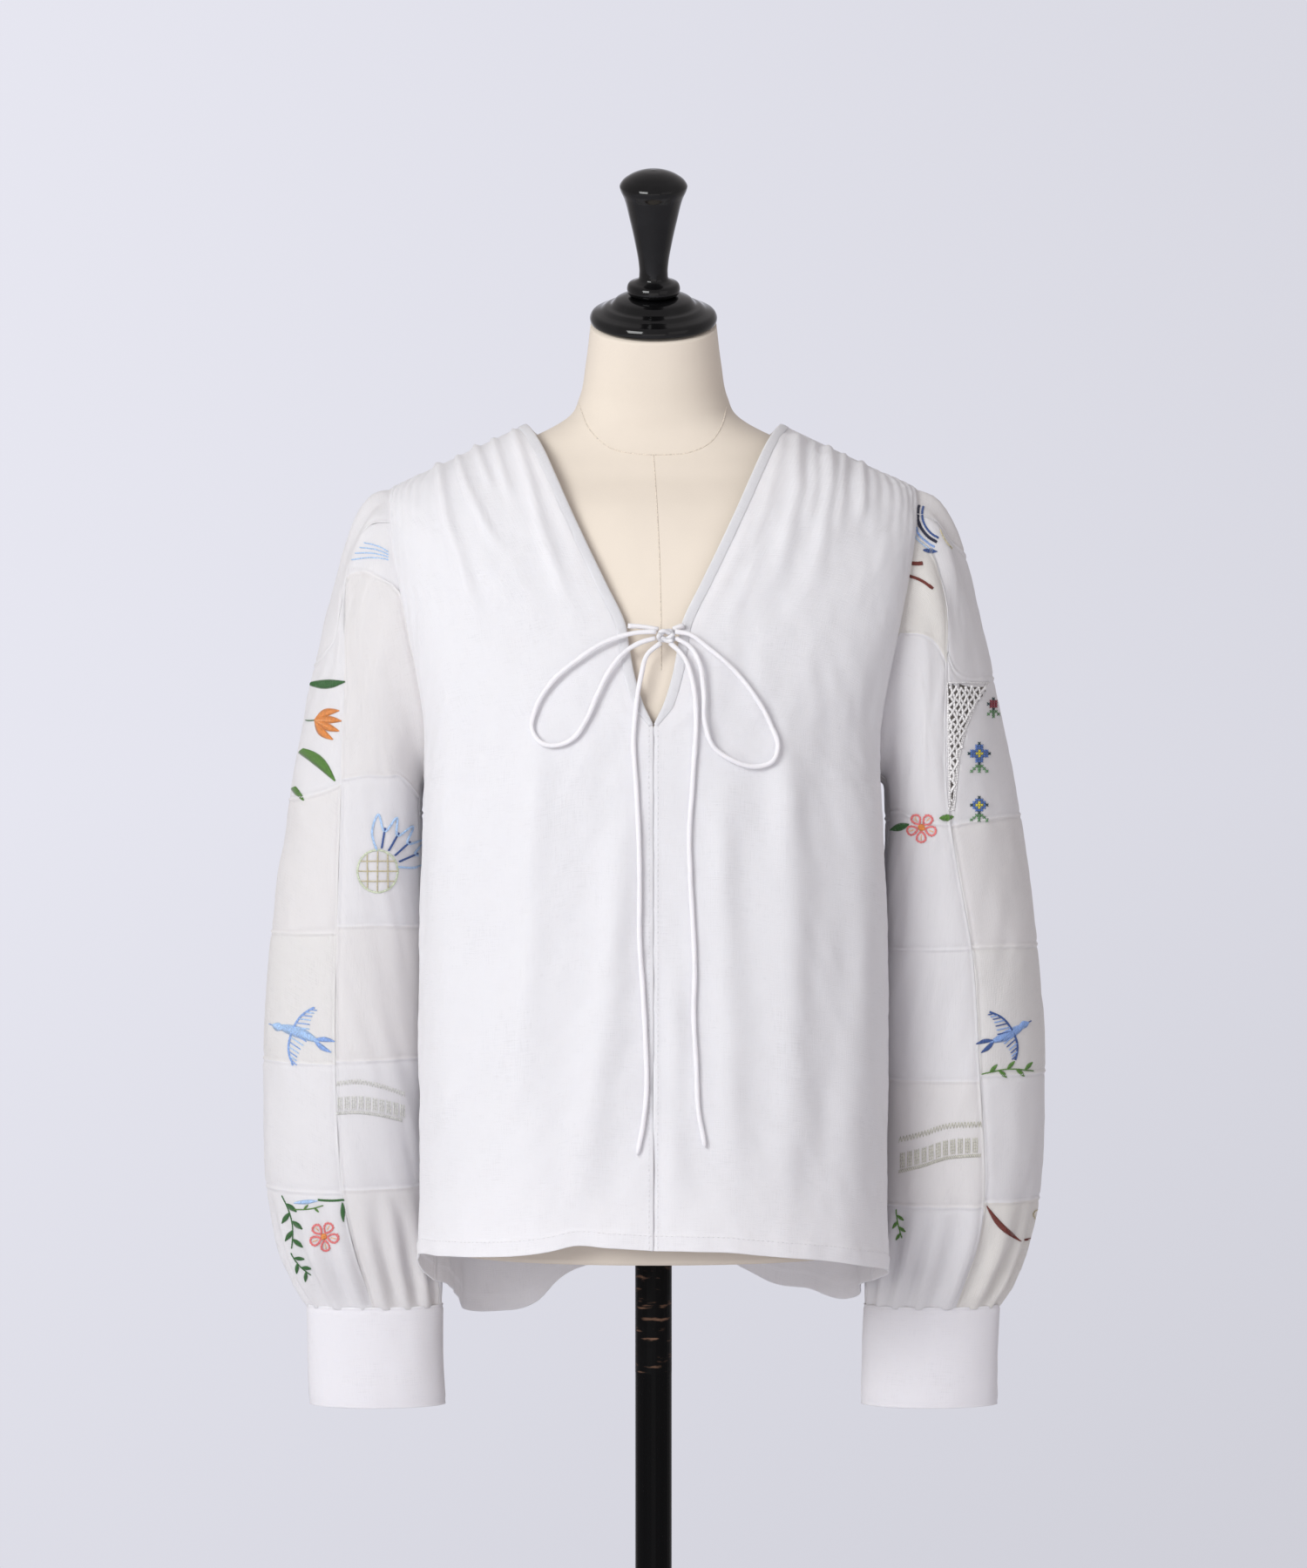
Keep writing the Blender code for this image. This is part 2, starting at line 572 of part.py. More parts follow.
def ring_turns(first, last, extra):
    """The angles of a sleeve strip's points: the same as the armhole's rows, or extra times as many."""
    low = 90.0 / ARMHOLE_LOW_ROWS
    high = 90.0 / ARMHOLE_HIGH_ROWS
    lower = np.arange(90.0, 270.0, low)
    upper = np.arange(270.0, 450.0, high)
    circle = np.concatenate([lower, upper])
    circle = np.concatenate([circle - 360.0, circle, circle + 360.0])
    turns = circle[(circle >= first - 1e-6) & (circle <= last + 1e-6)]
    places = np.linspace(0, len(turns) - 1, (len(turns) - 1) * extra + 1)
    return np.interp(places, np.arange(len(turns)), turns)


def sleeve_sheets(side, name):
    """The four strips of patches that go round a sleeve."""
    surface = sleeve_surface(side)
    finer = {1: 2, 2: 2, 13: 2, 14: 2, 15: 2}
    sheets = []
    for strip, (first, last) in SLEEVE_SEAMS.items():
        sheet = Sheet(f"{name}_{strip}", CLOTH, PATCH_LINEN)
        rows = []
        for ring in range(SLEEVE_RINGS + 1):
            turns = ring_turns(first, last, finer.get(ring, 1))
            rows.append(surface.point(turns, np.full_like(turns, float(ring))))
        sheet.add_rows(rows, reverse=side > 0)
        sheets.append(sheet)
    return sheets


def cuff_sheet(side, name):
    """A plain band round the wrist."""
    sheet = Sheet(name, CUFF_CLOTH, LINEN)
    turns = np.linspace(0.0, 2 * math.pi, 33)
    rows = []
    for drop in np.linspace(0.0, 1.0, 3):
        x = CUFF.read("centre_x", drop) + CUFF.read("half_width", drop) * np.cos(turns)
        y = CUFF.read("centre_y", drop) + CUFF.read("half_depth", drop) * np.sin(turns)
        z = np.full_like(turns, CUFF_TOP + (CUFF_BOTTOM - CUFF_TOP) * drop)
        rows.append(np.stack([side * x, y, z], axis=-1))
    sheet.add_rows(rows, reverse=side > 0)
    return sheet


def binding_sheet(name, surfaces_and_shares):
    """A narrow strip laid on the cloth beside the neck's edge, from points of the panel moved out."""
    sheet = Sheet(name, BINDING_CLOTH, LINEN)
    off = CLOTH / 2 + SEAM_GAP + BINDING_CLOTH / 2
    edge, outward = [], []
    for surface, shares in surfaces_and_shares:
        edge.append(surface.point(np.zeros_like(shares), shares))
        outward.append(facing_out(surface, np.full_like(shares, 0.02), shares, surface.flip))
    edge, outward = np.vstack(edge), np.vstack(outward)
    keep = np.concatenate([[True], np.linalg.norm(np.diff(edge, axis=0), axis=1) > 0.5])
    edge, outward = edge[keep], unit(outward[keep])
    along = unit(np.gradient(edge, axis=0))
    inward = unit(np.cross(along, outward))
    towards_cloth = surfaces_and_shares[0][0].point(np.array([0.2]), surfaces_and_shares[0][1][:1] + 0.02)[0]
    if np.dot(inward[1], towards_cloth - edge[1]) < 0:
        inward = -inward
    rows = []
    for width, lift in ((0.03, 0.2), (0.5, 0.7), (1.0, 0.75)):
        rows.append(edge + outward * (off + lift) + inward * BINDING_WIDTH * width)
    facing = np.cross(rows[0][1] - rows[0][0], rows[1][0] - rows[0][0])
    sheet.add_rows(rows, reverse=np.dot(facing, outward[0]) < 0)
    return sheet


def neck_bindings():
    front_shares = np.array([0.5350, 0.5500, *panel_shares()[panel_shares() > 0.56]])
    front_shares[-1] = 0.996
    back_shares = np.array([*panel_shares()[panel_shares() > BACK_NECK - 0.01]])
    back_shares[-1] = 0.996
    left, right = panel_surface(-1, 1), panel_surface(1, 1)
    return [
        binding_sheet("neck_binding_left", [(panel_surface(-1, -1), front_shares)]),
        binding_sheet("neck_binding_right", [(panel_surface(1, -1), front_shares)]),
        binding_sheet("neck_binding_back", [(left, back_shares[::-1]), (right, back_shares)]),
    ]


def build_cloth():
    pieces = [front_sheet(-1, "front_left"), front_sheet(1, "front_right"), back_sheet()]
    for side, name in ((-1, "sleeve_left"), (1, "sleeve_right")):
        pieces += sleeve_sheets(side, name)
    place_seams(pieces)
    apart = [cuff_sheet(-1, "cuff_left"), cuff_sheet(1, "cuff_right"), *neck_bindings()]
    for sheet in apart:
        sheet.weld()
        sheet.find_rim()
        sheet.find_outward()
    for sheet in pieces + apart:
        points, faces = sheet.solid()
        add_mesh(sheet.name, points, faces, sheet.colour, 0.9)


def front_depths():
    """Points of both fronts, close together, for laying the ties on the cloth."""
    across, share = np.meshgrid(np.linspace(0.0, 0.6, 60), np.linspace(0.05, 0.75, 260))
    return np.vstack([panel_surface(side, -1).point(across.ravel(), share.ravel()) for side in (-1, 1)])


def smooth_route(route, step):
    """Points about step apart on a smooth curve through the route's own points."""
    route = np.array(route, float)
    spans = np.linalg.norm(np.diff(route[:, :2], axis=0), axis=1)
    lengths = np.concatenate([[0.0], np.cumsum(spans)])
    slopes = np.gradient(route, lengths, axis=0)
    at = np.linspace(0.0, lengths[-1], max(3, round(lengths[-1] / step) + 1))
    low = np.clip(np.searchsorted(lengths, at, side="right") - 1, 0, len(lengths) - 2)
    span = (lengths[low + 1] - lengths[low])[:, None]
    part = (at - lengths[low])[:, None] / span
    square, cube = part**2, part**3
    return (
        (2 * cube - 3 * square + 1) * route[low]
        + (cube - 2 * square + part) * slopes[low] * span
        + (3 * square - 2 * cube) * route[low + 1]
        + (cube - square) * slopes[low + 1] * span
    )


def lay_on_front(places, cloth):
    """Turns (across, up, lift) into points in front of the cloth."""
    points = []
    for x, z, lift in places:
        near = np.argsort((cloth[:, 0] - x) ** 2 + (cloth[:, 2] - z) ** 2)[:4]
        points.append((x, cloth[near, 1].mean() - lift, z))
    return np.array(points)


def add_cord(name, points):
    curve = bpy.data.curves.new(name, "CURVE")
    curve.dimensions = "3D"
    curve.bevel_depth = TIE_DIAMETER / 2 * MM
    curve.bevel_resolution = 2
    curve.use_fill_caps = True
    line = curve.splines.new("POLY")
    line.points.add(len(points) - 1)
    for spot, point in zip(line.points, points * MM):
        spot.co = (*point, 1.0)
    curve.materials.append(material(name, LINEN, 0.9))
    made = bpy.data.objects.new(name, curve)
    bpy.context.scene.collection.objects.link(made)


def build_ties():
    """The bow's knot and its strands: two roots, two loops and two hanging ends."""
    cloth = front_depths()
    for name, route in TIE_ROUTES.items():
        add_cord(name, lay_on_front(smooth_route(route, TIE_STEP), cloth))
    knot = lay_on_front([(*KNOT_CENTRE, KNOT_LIFT)], cloth)[0]
    bpy.ops.mesh.primitive_uv_sphere_add(segments=12, ring_count=6, radius=1.0, location=knot * MM)
    made = bpy.context.active_object
    made.name = made.data.name = "tie_knot"
    made.scale = np.array(KNOT_RADII) * MM
    bpy.ops.object.transform_apply(location=False, rotation=False, scale=True)
    made.data.materials.append(material("tie_knot", LINEN, 0.9))


def slice_points(height, sides):
    """One closed slice of the dress form."""
    turns = np.linspace(0.0, 2 * math.pi, sides, endpoint=False)
    across, depth = np.cos(turns), np.sin(turns)
    power = 2.0 / FORM_SQUARENESS
    x = FORM.read("half_width", height) * np.sign(across) * np.abs(across) ** power
    depth = FORM.read("half_depth", height) * np.sign(depth) * np.abs(depth) ** power
    tilt = math.radians(float(FORM.read("tilt", height)))
    y = FORM.read("centre_y", height) + depth * math.cos(tilt)
    return np.stack([x, y, height + depth * math.sin(tilt)], axis=-1)


def stack_rings(rings, closed_ends=True):
    """Points and faces of a closed body from rings with equal numbers of points, lowest first."""
    count = len(rings[0])
    points = np.vstack(rings)
    faces = []
    for low in range(len(rings) - 1):
        for i in range(count):
            j = (i + 1) % count
            faces.append((low * count + i, low * count + j, (low + 1) * count + j, (low + 1) * count + i))
    if closed_ends:
        faces.append(tuple(range(count))[::-1])
        faces.append(tuple(range((len(rings) - 1) * count, len(rings) * count)))
    return points, faces


def build_form():
    """The limbless torso and neck, a closed smooth body."""
    heights = FORM.keys
    between = (heights[:-1] + heights[1:]) / 2
    chosen = np.sort(np.concatenate([heights, between[3:9], between[18:]]))
    points, faces = stack_rings([slice_points(height, FORM_SIDES) for height in chosen])
    add_mesh("form_torso", points, faces, FORM_CREAM, 0.85)


def turned(profile, sides, top=None):
    """A turned body from (radius, height) pairs, flat below, and pointed at height top if one is given."""
    turns = np.linspace(0.0, 2 * math.pi, sides, endpoint=False)
    circle = np.stack([np.cos(turns), np.sin(turns), np.zeros(sides)], axis=-1)
    rings = [circle * radius + (0.0, 0.0, height) for radius, height in profile]
    points, faces = stack_rings(rings, closed_ends=False)
    faces.append(tuple(range(sides))[::-1])
    last = (len(rings) - 1) * sides
    if top is None:
        faces.append(tuple(range(last, last + sides)))
    else:
        points = np.vstack([points, [(0.0, 0.0, top)]])
        faces += [(last + i, last + (i + 1) % sides, last + sides) for i in range(sides)]
    return points, faces


def on_neck(points):
    """Stands a turned body on the neck's cut plane, which leans forward."""
    lean = np.array([
        (1.0, 0.0, 0.0),
        (0.0, math.cos(NECK_TILT), -math.sin(NECK_TILT)),
        (0.0, math.sin(NECK_TILT), math.cos(NECK_TILT)),
    ])
    return points @ lean.T + NECK_TOP


def build_cap_and_finial():
    points, faces = turned(CAP_PROFILE, TURNED_SIDES)
    add_mesh("neck_cap", on_neck(points), faces, LACQUER, 0.12)
    points, faces = turned(FINIAL_PROFILE, TURNED_SIDES, FINIAL_TOP)
    add_mesh("finial", on_neck(points), faces, LACQUER, 0.12)


def build_stand():
    points, faces = turned([(POLE_RADIUS, BASE_TOP + SEAM_GAP), (POLE_RADIUS, POLE_TOP)], TURNED_SIDES)
    add_mesh("pole", points, faces, POLE_BLACK, 0.35, 0.3)
    points, faces = turned([*BASE_PROFILE, (16.0, BASE_TOP)], BASE_SIDES)
    add_mesh("base_plate", points, faces, POLE_BLACK, 0.4, 0.3)


def main():
    for old in list(bpy.data.objects):
        bpy.data.objects.remove(old)
    build_form()
    build_cap_and_finial()
    build_stand()
    build_cloth()
    build_ties()


main()
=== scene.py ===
"""The looks of a tied linen blouse with patchwork sleeves, on a limbless dress form.

Tables and points are in millimetres; each mesh is scaled to metres when it is made.
Places written as (column, row) are points of the 1500 by 1800 picture, laid on the cloth along the camera's rays.
"Left" and "right" are those of the picture.
"""

import math

import bmesh
import bpy
import numpy as np
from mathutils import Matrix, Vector
from mathutils.bvhtree import BVHTree


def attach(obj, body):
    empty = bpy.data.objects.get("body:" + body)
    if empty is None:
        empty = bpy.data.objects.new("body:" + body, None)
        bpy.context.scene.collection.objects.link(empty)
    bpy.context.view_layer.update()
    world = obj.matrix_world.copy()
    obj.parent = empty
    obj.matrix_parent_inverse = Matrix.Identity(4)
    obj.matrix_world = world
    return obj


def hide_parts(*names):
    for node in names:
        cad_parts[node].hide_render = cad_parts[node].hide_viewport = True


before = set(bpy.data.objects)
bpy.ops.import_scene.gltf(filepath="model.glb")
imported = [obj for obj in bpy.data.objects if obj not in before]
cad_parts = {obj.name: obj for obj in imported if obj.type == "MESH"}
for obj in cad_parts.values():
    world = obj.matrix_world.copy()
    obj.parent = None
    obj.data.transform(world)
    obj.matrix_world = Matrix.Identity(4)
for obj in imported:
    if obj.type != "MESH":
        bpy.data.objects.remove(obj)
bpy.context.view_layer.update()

MM = 0.001
CAMERA = np.array([0.0, -3000.0, 1100.0])
PIXEL = 0.6
PICTURE_CENTRE = (750.0, 900.0)

# Shares of the way up a panel, from the hem at 0 to the shoulder at 1. The bindings stop just short of the shoulder
UNDERARM, SLIT_FOOT, MID_ARMHOLE, BACK_NECK = 0.42, 0.53, 0.64, 0.82
BINDING_START, BINDING_END = 0.535, 0.997

PANEL_LOWER, PANEL_UPPER, PANEL_WIDTH, PANEL_EDGE = 305.0, 265.0, 215.0, 480
SLEEVE_RINGS, MIDDLE_RING = 15, 8.0
ARMHOLE_BOW = 6.0
HEAD_GATHERS, CUFF_GATHERS = 14, 16
CLOTH_STEP, CLOTH_WALL, CUFF_WALL, BINDING_WALL = 3.2, 0.9, 2.0, 0.5
HEM_WIDTH = 11.0
HEM_STITCHES, CENTRE_STITCHES, CUFF_STITCHES = HEM_WIDTH - 1.2, 2.4, (2.6, 63.6)
NOISE_CELLS = 32


def smooth_step(low, high, value):
    """0 below low, 1 above high, and a smooth rise between them."""
    part = np.clip((value - low) / (high - low), 0.0, 1.0)
    return part * part * (3 - 2 * part)


def bell(value, middle, width):
    return np.exp(-(((value - middle) / width) ** 2))


def unit(vectors):
    return vectors / np.maximum(np.linalg.norm(vectors, axis=-1, keepdims=True), 1e-12)


def lengths_along(points):
    """How far along a line of points each of them lies."""
    return np.concatenate([[0.0], np.cumsum(np.linalg.norm(np.diff(points, axis=0), axis=1))])


def between(part, start, end, start_slope, end_slope):
    """The smooth curve from start to end that leaves and arrives with the given slopes."""
    square, cube = part**2, part**3
    return (
        (2 * cube - 3 * square + 1) * start
        + (cube - 2 * square + part) * start_slope
        + (3 * square - 2 * cube) * end
        + (cube - square) * end_slope
    )


class Table:
    """Rows of named columns, read between the rows along a smooth curve. The first column is the key."""

    def __init__(self, columns, rows):
        self.names = columns
        self.rows = np.array(rows, float)
        self.keys = self.rows[:, 0]
        self.slopes = np.gradient(self.rows, self.keys, axis=0)

    def read(self, name, key):
        column = self.names.index(name)
        key = np.clip(np.asarray(key, float), self.keys[0], self.keys[-1])
        low = np.clip(np.searchsorted(self.keys, key, side="right") - 1, 0, len(self.keys) - 2)
        span = self.keys[low + 1] - self.keys[low]
        part = (key - self.keys[low]) / span
        values, slopes = self.rows[:, column], self.slopes[:, column]
        return between(part, values[low], values[low + 1], slopes[low] * span, slopes[low + 1] * span)


# Front panel's inner edge: centre seam up to the slit, then the slit and the V of the neck
FRONT_EDGE = Table(
    ("share", "x", "y", "z", "squareness"),
    [
        (0, 0, -138, 793, 2.6),
        (0.14, 0, -136.5, 893, 2.6),
        (0.28, 0, -135, 996, 2.6),
        (0.42, 0, -134.5, 1098, 2.55),
        (0.4933, 0, -133.5, 1125, 2.32),
        (0.53, 0, -132.5, 1137, 2.2),
        (0.5667, 7.5, -130, 1153, 2.1),
        (0.6033, 13, -126, 1171, 2.02),
        (0.64, 16.5, -121, 1189, 1.96),
        (0.685, 20, -116, 1208, 1.94),
        (0.73, 32.5, -108.5, 1234, 1.93),
        (0.775, 45, -98, 1260, 1.92),
        (0.82, 56.5, -85, 1285, 1.88),
        (0.865, 66.5, -69, 1308, 1.8),
        (0.91, 75.5, -50, 1328, 1.68),
        (0.955, 83, -26, 1341, 1.42),
        (1, 88, 8, 1348, 1.1),
    ],
)

# Back panel's inner edge: centre back up to the neck, then the back neckline to the shoulder
BACK_EDGE = Table(
    ("share", "x", "y", "z", "squareness"),
    [
        (0, 0, 128, 755, 2.5),
        (0.14, 0, 122, 868, 2.5),
        (0.28, 0, 114, 984, 2.5),
        (0.42, 0, 108, 1098, 2.42),
        (0.4933, 0, 109, 1128, 2.05),
        (0.5667, 0, 111, 1160, 1.8),
        (0.64, 0, 112, 1195, 1.66),
        (0.73, 0, 110.5, 1243, 1.68),
        (0.775, 0, 103, 1286, 1.82),
        (0.82, 0, 89.5, 1323, 1.94),
        (0.865, 34, 83.5, 1327, 1.86),
        (0.91, 60, 67.5, 1333.5, 1.7),
        (0.955, 79, 42.5, 1341.5, 1.42),
        (1, 88, 8, 1348, 1.1),
    ],
)

# Side seam below the arm, and how far the hanging sleeve presses the side in
SIDE_EDGE = Table(
    ("share", "x", "y", "z", "press", "press_y", "reach"),
    [
        (0, 150, 6, 757, 21, 33, 28),
        (0.14, 151, 6, 873, 17, 31, 28),
        (0.28, 150, 6, 990, 16, 24, 30),
        (0.36, 149, 6, 1055, 16, 14, 36),
        (0.42, 150, 6, 1105, 16, 6, 44),
        (0.5, 150, 6, 1105, 14, 6, 52),
        (0.64, 150, 6, 1105, 6, 6, 56),
        (0.8, 150, 6, 1105, 0, 6, 56),
        (1, 150, 6, 1105, 0, 6, 56),
    ],
)

# How far the hem stands above or below an even curve, by share of the way from the centre to the side
HEM_DIP = Table(
    ("share", "front_left", "front_right", "back_left", "back_right"),
    [
        (0, 0, 0, 2, 2),
        (0.12, 2.5, 0, 1, 4),
        (0.2, 4.5, 0, -1, 3.5),
        (0.26, 1.5, -1, -9, -4),
        (0.32, 0, -1.5, -25, -12),
        (0.45, 0.5, -2, -32, -15),
        (0.6, 4, -3, -26, -20),
        (0.78, 9, -1, -12, -10),
        (0.9, 4, 0, -4, -4),
        (1, 0, 0, 0, 0),
    ],
)

# Sleeve rings, from the armhole to the cuff: the ring's outer and inner points, centre and half depth
SLEEVE = Table(
    ("ring", "outer_x", "outer_z", "inner_x", "inner_z", "centre_y", "half_depth"),
    [
        (0, 180, 1304, 150, 1105, 6, 60),
        (1, 195, 1296, 158.5, 1100.5, 6.5, 61.5),
        (2, 208, 1274, 160.5, 1088, 7.5, 62),
        (3, 219, 1240, 160.5, 1070, 9.5, 62),
        (4, 229, 1200, 160, 1050, 12, 61.5),
        (5, 238, 1158, 159, 1028, 15, 60.5),
        (6, 247, 1114, 157.5, 1003, 18, 59.5),
        (7, 255, 1066, 157, 974, 21, 59),
        (8, 263, 1013, 156.5, 941, 24, 58.5),
        (9, 269, 956, 156, 905, 27, 58.5),
        (10, 271.5, 899, 156, 868, 29.5, 58.5),
        (11, 271, 850, 155.5, 834, 31.5, 57),
        (12, 267, 810, 154, 802, 33, 52),
        (13, 259, 778, 151.5, 775, 34, 43),
        (14, 248.5, 754, 149, 753, 34.5, 32),
        (15, 240, 737, 148, 737, 35, 24),
    ],
)

# Where the front seam between the two visible columns of patches runs, in degrees round each sleeve
FRONT_SEAM = {
    "left": Table(
        ("ring", "turn"),
        [
            (0, -42), (0.85, -38.5), (1.65, -35), (2.3, -36), (2.8, -41), (3.5, -58), (4.65, -68.5),
            (6.75, -79), (9.2, -86), (12.1, -90), (15, -90),
        ],
    ),
    "right": Table(
        ("ring", "turn"),
        [
            (0, -50), (1, -52), (2.25, -61), (3.4, -78.5), (5.45, -89), (6.5, -86.5), (8, -81.5),
            (9.7, -81), (11.9, -74.5), (15, -72),
        ],
    ),
}
TOP_SEAM, BACK_SEAM, INNER_SEAM = 11.25, 105.0, 195.0

# Heights of the seams across each column of patches, from the head down
PATCH_SEAMS = {
    "left": {
        "front_outer": [1181, 1089, 998, 910, 821],
        "back_outer": [1184, 1091, 1000, 911, 823],
        "back_inner": [1168, 1080, 990, 902, 816],
        "front_inner": [1180, 1092, 1002, 912, 823],
    },
    "right": {
        "front_outer": [1254, 1173, 1079, 989, 901, 813],
        "back_outer": [1250, 1170, 1081, 992, 903, 816],
        "back_inner": [1170, 1076, 986, 897, 812],
        "front_inner": [1168, 1080, 988, 897, 810],
    },
}

CUFF_TOP, CUFF_BOTTOM, CUFF_LAP = 735.8, 668.5, 2.4
CUFF = Table(
    ("drop", "centre_x", "half_width", "centre_y", "half_depth"),
    [(0, 194, 46.6, 35, 24.6), (0.5, 193, 46.2, 35, 25.4), (1, 192, 46.6, 35, 26)],
)

# Dress form: level slices of the torso, tilting into the cut plane of the neck
FORM = Table(
    ("height", "half_width", "centre_y", "half_depth", "tilt"),
    [
        (780, 140, -5, 101, 0),
        (840, 145, -3, 106, 0),
        (900, 137, -1, 99, 0),
        (960, 122, -3, 89, 0),
        (1010, 120, -6, 90, 0),
        (1060, 130, -12, 100, 0),
        (1110, 142, -17, 110, 0),
        (1150, 146, -13.5, 110.5, 0),
        (1200, 149, -5.5, 106.5, 0),
        (1240, 155, 1.5, 101, 0),
        (1270, 163, 7, 94, 0),
        (1288, 169, 10, 85.5, 0),
        (1298, 168, 11.5, 78, 0),
        (1306, 159, 12.5, 72, 0),
        (1315, 143, 13, 67, 0),
        (1324, 122, 13, 62, 0),
        (1333, 100, 11, 57, 0),
        (1342, 78, 7.5, 53, 2),
        (1354, 57.5, 2.5, 49.5, 6),
        (1366, 51, -2.5, 46.5, 12),
        (1388, 46.5, -11.5, 44.5, 20),
        (1414.3, 43, -22, 43, 23),
    ],
)
FORM_SQUARENESS = 2.2
NECK_TILT = math.radians(23.0)
NECK_TOP = (0.0, -22.0, 1414.7)

# Turned profiles, radius against height above the neck's cut plane
CAP_PROFILE = [
    (40.5, 0), (43, 2), (43.5, 5), (42, 8), (38.5, 9.6), (36.5, 10.4), (33, 12.6), (29, 14),
    (27.8, 15.4), (25.8, 17.4), (22, 19), (18.5, 20),
]
FINIAL_PROFILE = [
    (15, 20.3), (17.4, 22), (18.2, 25), (17.2, 28.4), (13, 30.4), (10.4, 32), (9.8, 36), (10.2, 43),
    (12.4, 56), (16.2, 73.5), (20.2, 89), (22.6, 94.6), (23, 96.8), (21.8, 99.2), (16.5, 103.6), (8.5, 106.8),
]
FINIAL_TOP = 107.8

# The bow: each strand's points across and up, and how far it stands off the cloth
TIE_RADIUS = 1.6
KNOT_CENTRE, KNOT_LIFT, KNOT_REACH = (8.0, 1198.0), 7.2, (5.0, 2.6)
TIE_ROUTES = {
    "tie_root_left": [(-17.0, 1204.5, 4.8), (-8.0, 1204.0, 4.4), (3.3, 1202.1, 5.8)],
    "tie_root_right": [(20.0, 1204.5, 4.8), (17.0, 1204.0, 4.4), (13.1, 1202.3, 5.8)],
    "tie_loop_left": [
        (1.7, 1200.6, 8.4), (-9.8, 1200, 8.8), (-30, 1194.6, 7.5), (-50.2, 1182, 6.5), (-67.5, 1167, 5.5),
        (-77.9, 1149.6, 5), (-80.2, 1135.8, 4.6), (-73.9, 1127.1, 4.4), (-64, 1125.4, 4.4), (-52.5, 1130.6, 4.6),
        (-44.4, 1142.1, 5), (-37.5, 1157.7, 5.5), (-27.7, 1176.7, 6.2), (-17.3, 1188.3, 7), (-8, 1193.5, 7.4),
        (1.3, 1196.2, 7.6),
    ],
    "tie_loop_right": [
        (14.3, 1200.6, 8.4), (23, 1199, 8.8), (36.4, 1189.4, 8), (51.9, 1176.2, 7), (65.8, 1159.4, 6),
        (76.7, 1140.4, 5.2), (81.9, 1124.2, 4.8), (79, 1115.6, 4.6), (68, 1111.5, 4.6), (51.9, 1115.6, 4.8),
        (38.7, 1125.4, 5.2), (34, 1139.2, 5.8), (33, 1162.3, 6.6), (29.8, 1180.8, 7.4), (23.5, 1191, 7.8),
        (14.7, 1196.2, 7.6),
    ],
    "tie_end_left": [
        (4.7, 1193.1, 7.2), (-4, 1185.5, 7), (-8, 1172, 6), (-11.5, 1150.7, 4.6), (-13.2, 1128.7, 3.3),
        (-11.5, 1100, 3), (-9.8, 1065.6, 2.9), (-9.2, 1036.9, 2.9), (-9.2, 996.8, 2.9), (-6.9, 962.4, 2.9),
        (-5.2, 928, 2.9), (-4.6, 899.3, 2.9), (-6.9, 876.3, 2.9), (-10.9, 856.3, 3),
    ],
    "tie_end_right": [
        (11, 1193, 7.2), (19.5, 1184.5, 7), (26, 1165.5, 6), (28, 1140.5, 4.4), (26.5, 1114.4, 3.3),
        (25.3, 1094.3, 3), (23.5, 1068.5, 2.9), (24.1, 1039.9, 2.9), (25.8, 1008.4, 2.9), (27, 979.8, 2.9),
        (26.4, 948.2, 2.9), (28.1, 913.8, 2.9), (29.2, 888, 2.9), (33.8, 861.2, 3),
    ],
}

# Creases placed one by one: how far they stand out, their width in pixels at the start and the end, whether they
# start at full height (1) or rise from nothing (0), and the line of the crest through the picture
FRONT_CREASES = [
    (3.4, 5, 9, 1, [(503, 530), (507, 560), (514, 600), (540, 680), (552, 720)]),
    (3, 4, 5, 1, [(524, 520), (536, 560), (560, 610), (584, 640)]),
    (3.4, 4, 5, 1, [(545, 510), (556, 540), (566, 570)]),
    (3, 4, 5, 1, [(565, 500), (576, 540), (588, 580)]),
    (3.2, 5, 8, 1, [(590, 494), (606, 550), (622, 610), (646, 680), (664, 720)]),
    (2, 3, 5, 1, [(606, 500), (624, 540), (650, 600), (690, 670)]),
    (3.6, 6, 11, 1, [(914, 505), (915, 560), (902, 620), (886, 680)]),
    (1.6, 3, 5, 1, [(897, 500), (888, 545), (872, 600), (850, 650)]),
    (3.4, 6, 10, 1, [(950, 515), (952, 560), (942, 620), (930, 680)]),
    (2.2, 4, 6, 1, [(934, 510), (934, 560), (922, 620)]),
    (2.6, 4, 8, 1, [(968, 522), (966, 570), (958, 630)]),
    (2.4, 4, 6, 1, [(988, 530), (990, 570), (986, 610)]),
    (1.3, 4, 6, 0, [(862, 590), (838, 650), (806, 705)]),
    (1.2, 4, 6, 0, [(876, 618), (852, 680), (826, 730)]),
    (1, 3, 5, 0, [(845, 575), (815, 630), (793, 690)]),
    (1.6, 4, 5, 0, [(803, 800), (786, 822), (762, 842)]),
    (1.3, 4, 5, 0, [(700, 800), (716, 820), (738, 842)]),
    (5.2, 20, 26, 0, [(508, 700), (512, 850), (516, 1000), (514, 1200), (508, 1440)]),
    (4.6, 17, 22, 0, [(606, 760), (616, 900), (610, 1060), (596, 1240), (592, 1440)]),
    (5.4, 18, 24, 0, [(716, 880), (712, 1000), (700, 1140), (678, 1300), (662, 1440)]),
    (5.6, 19, 26, 0, [(884, 760), (900, 900), (908, 1060), (908, 1240), (902, 1450)]),
    (3.4, 14, 20, 0, [(832, 860), (828, 1000), (836, 1180), (838, 1440)]),
    (4, 17, 24, 0, [(986, 800), (990, 960), (986, 1140), (978, 1300), (966, 1450)]),
    (2.4, 10, 14, 0, [(770, 1080), (776, 1200), (770, 1320), (772, 1440)]),
]
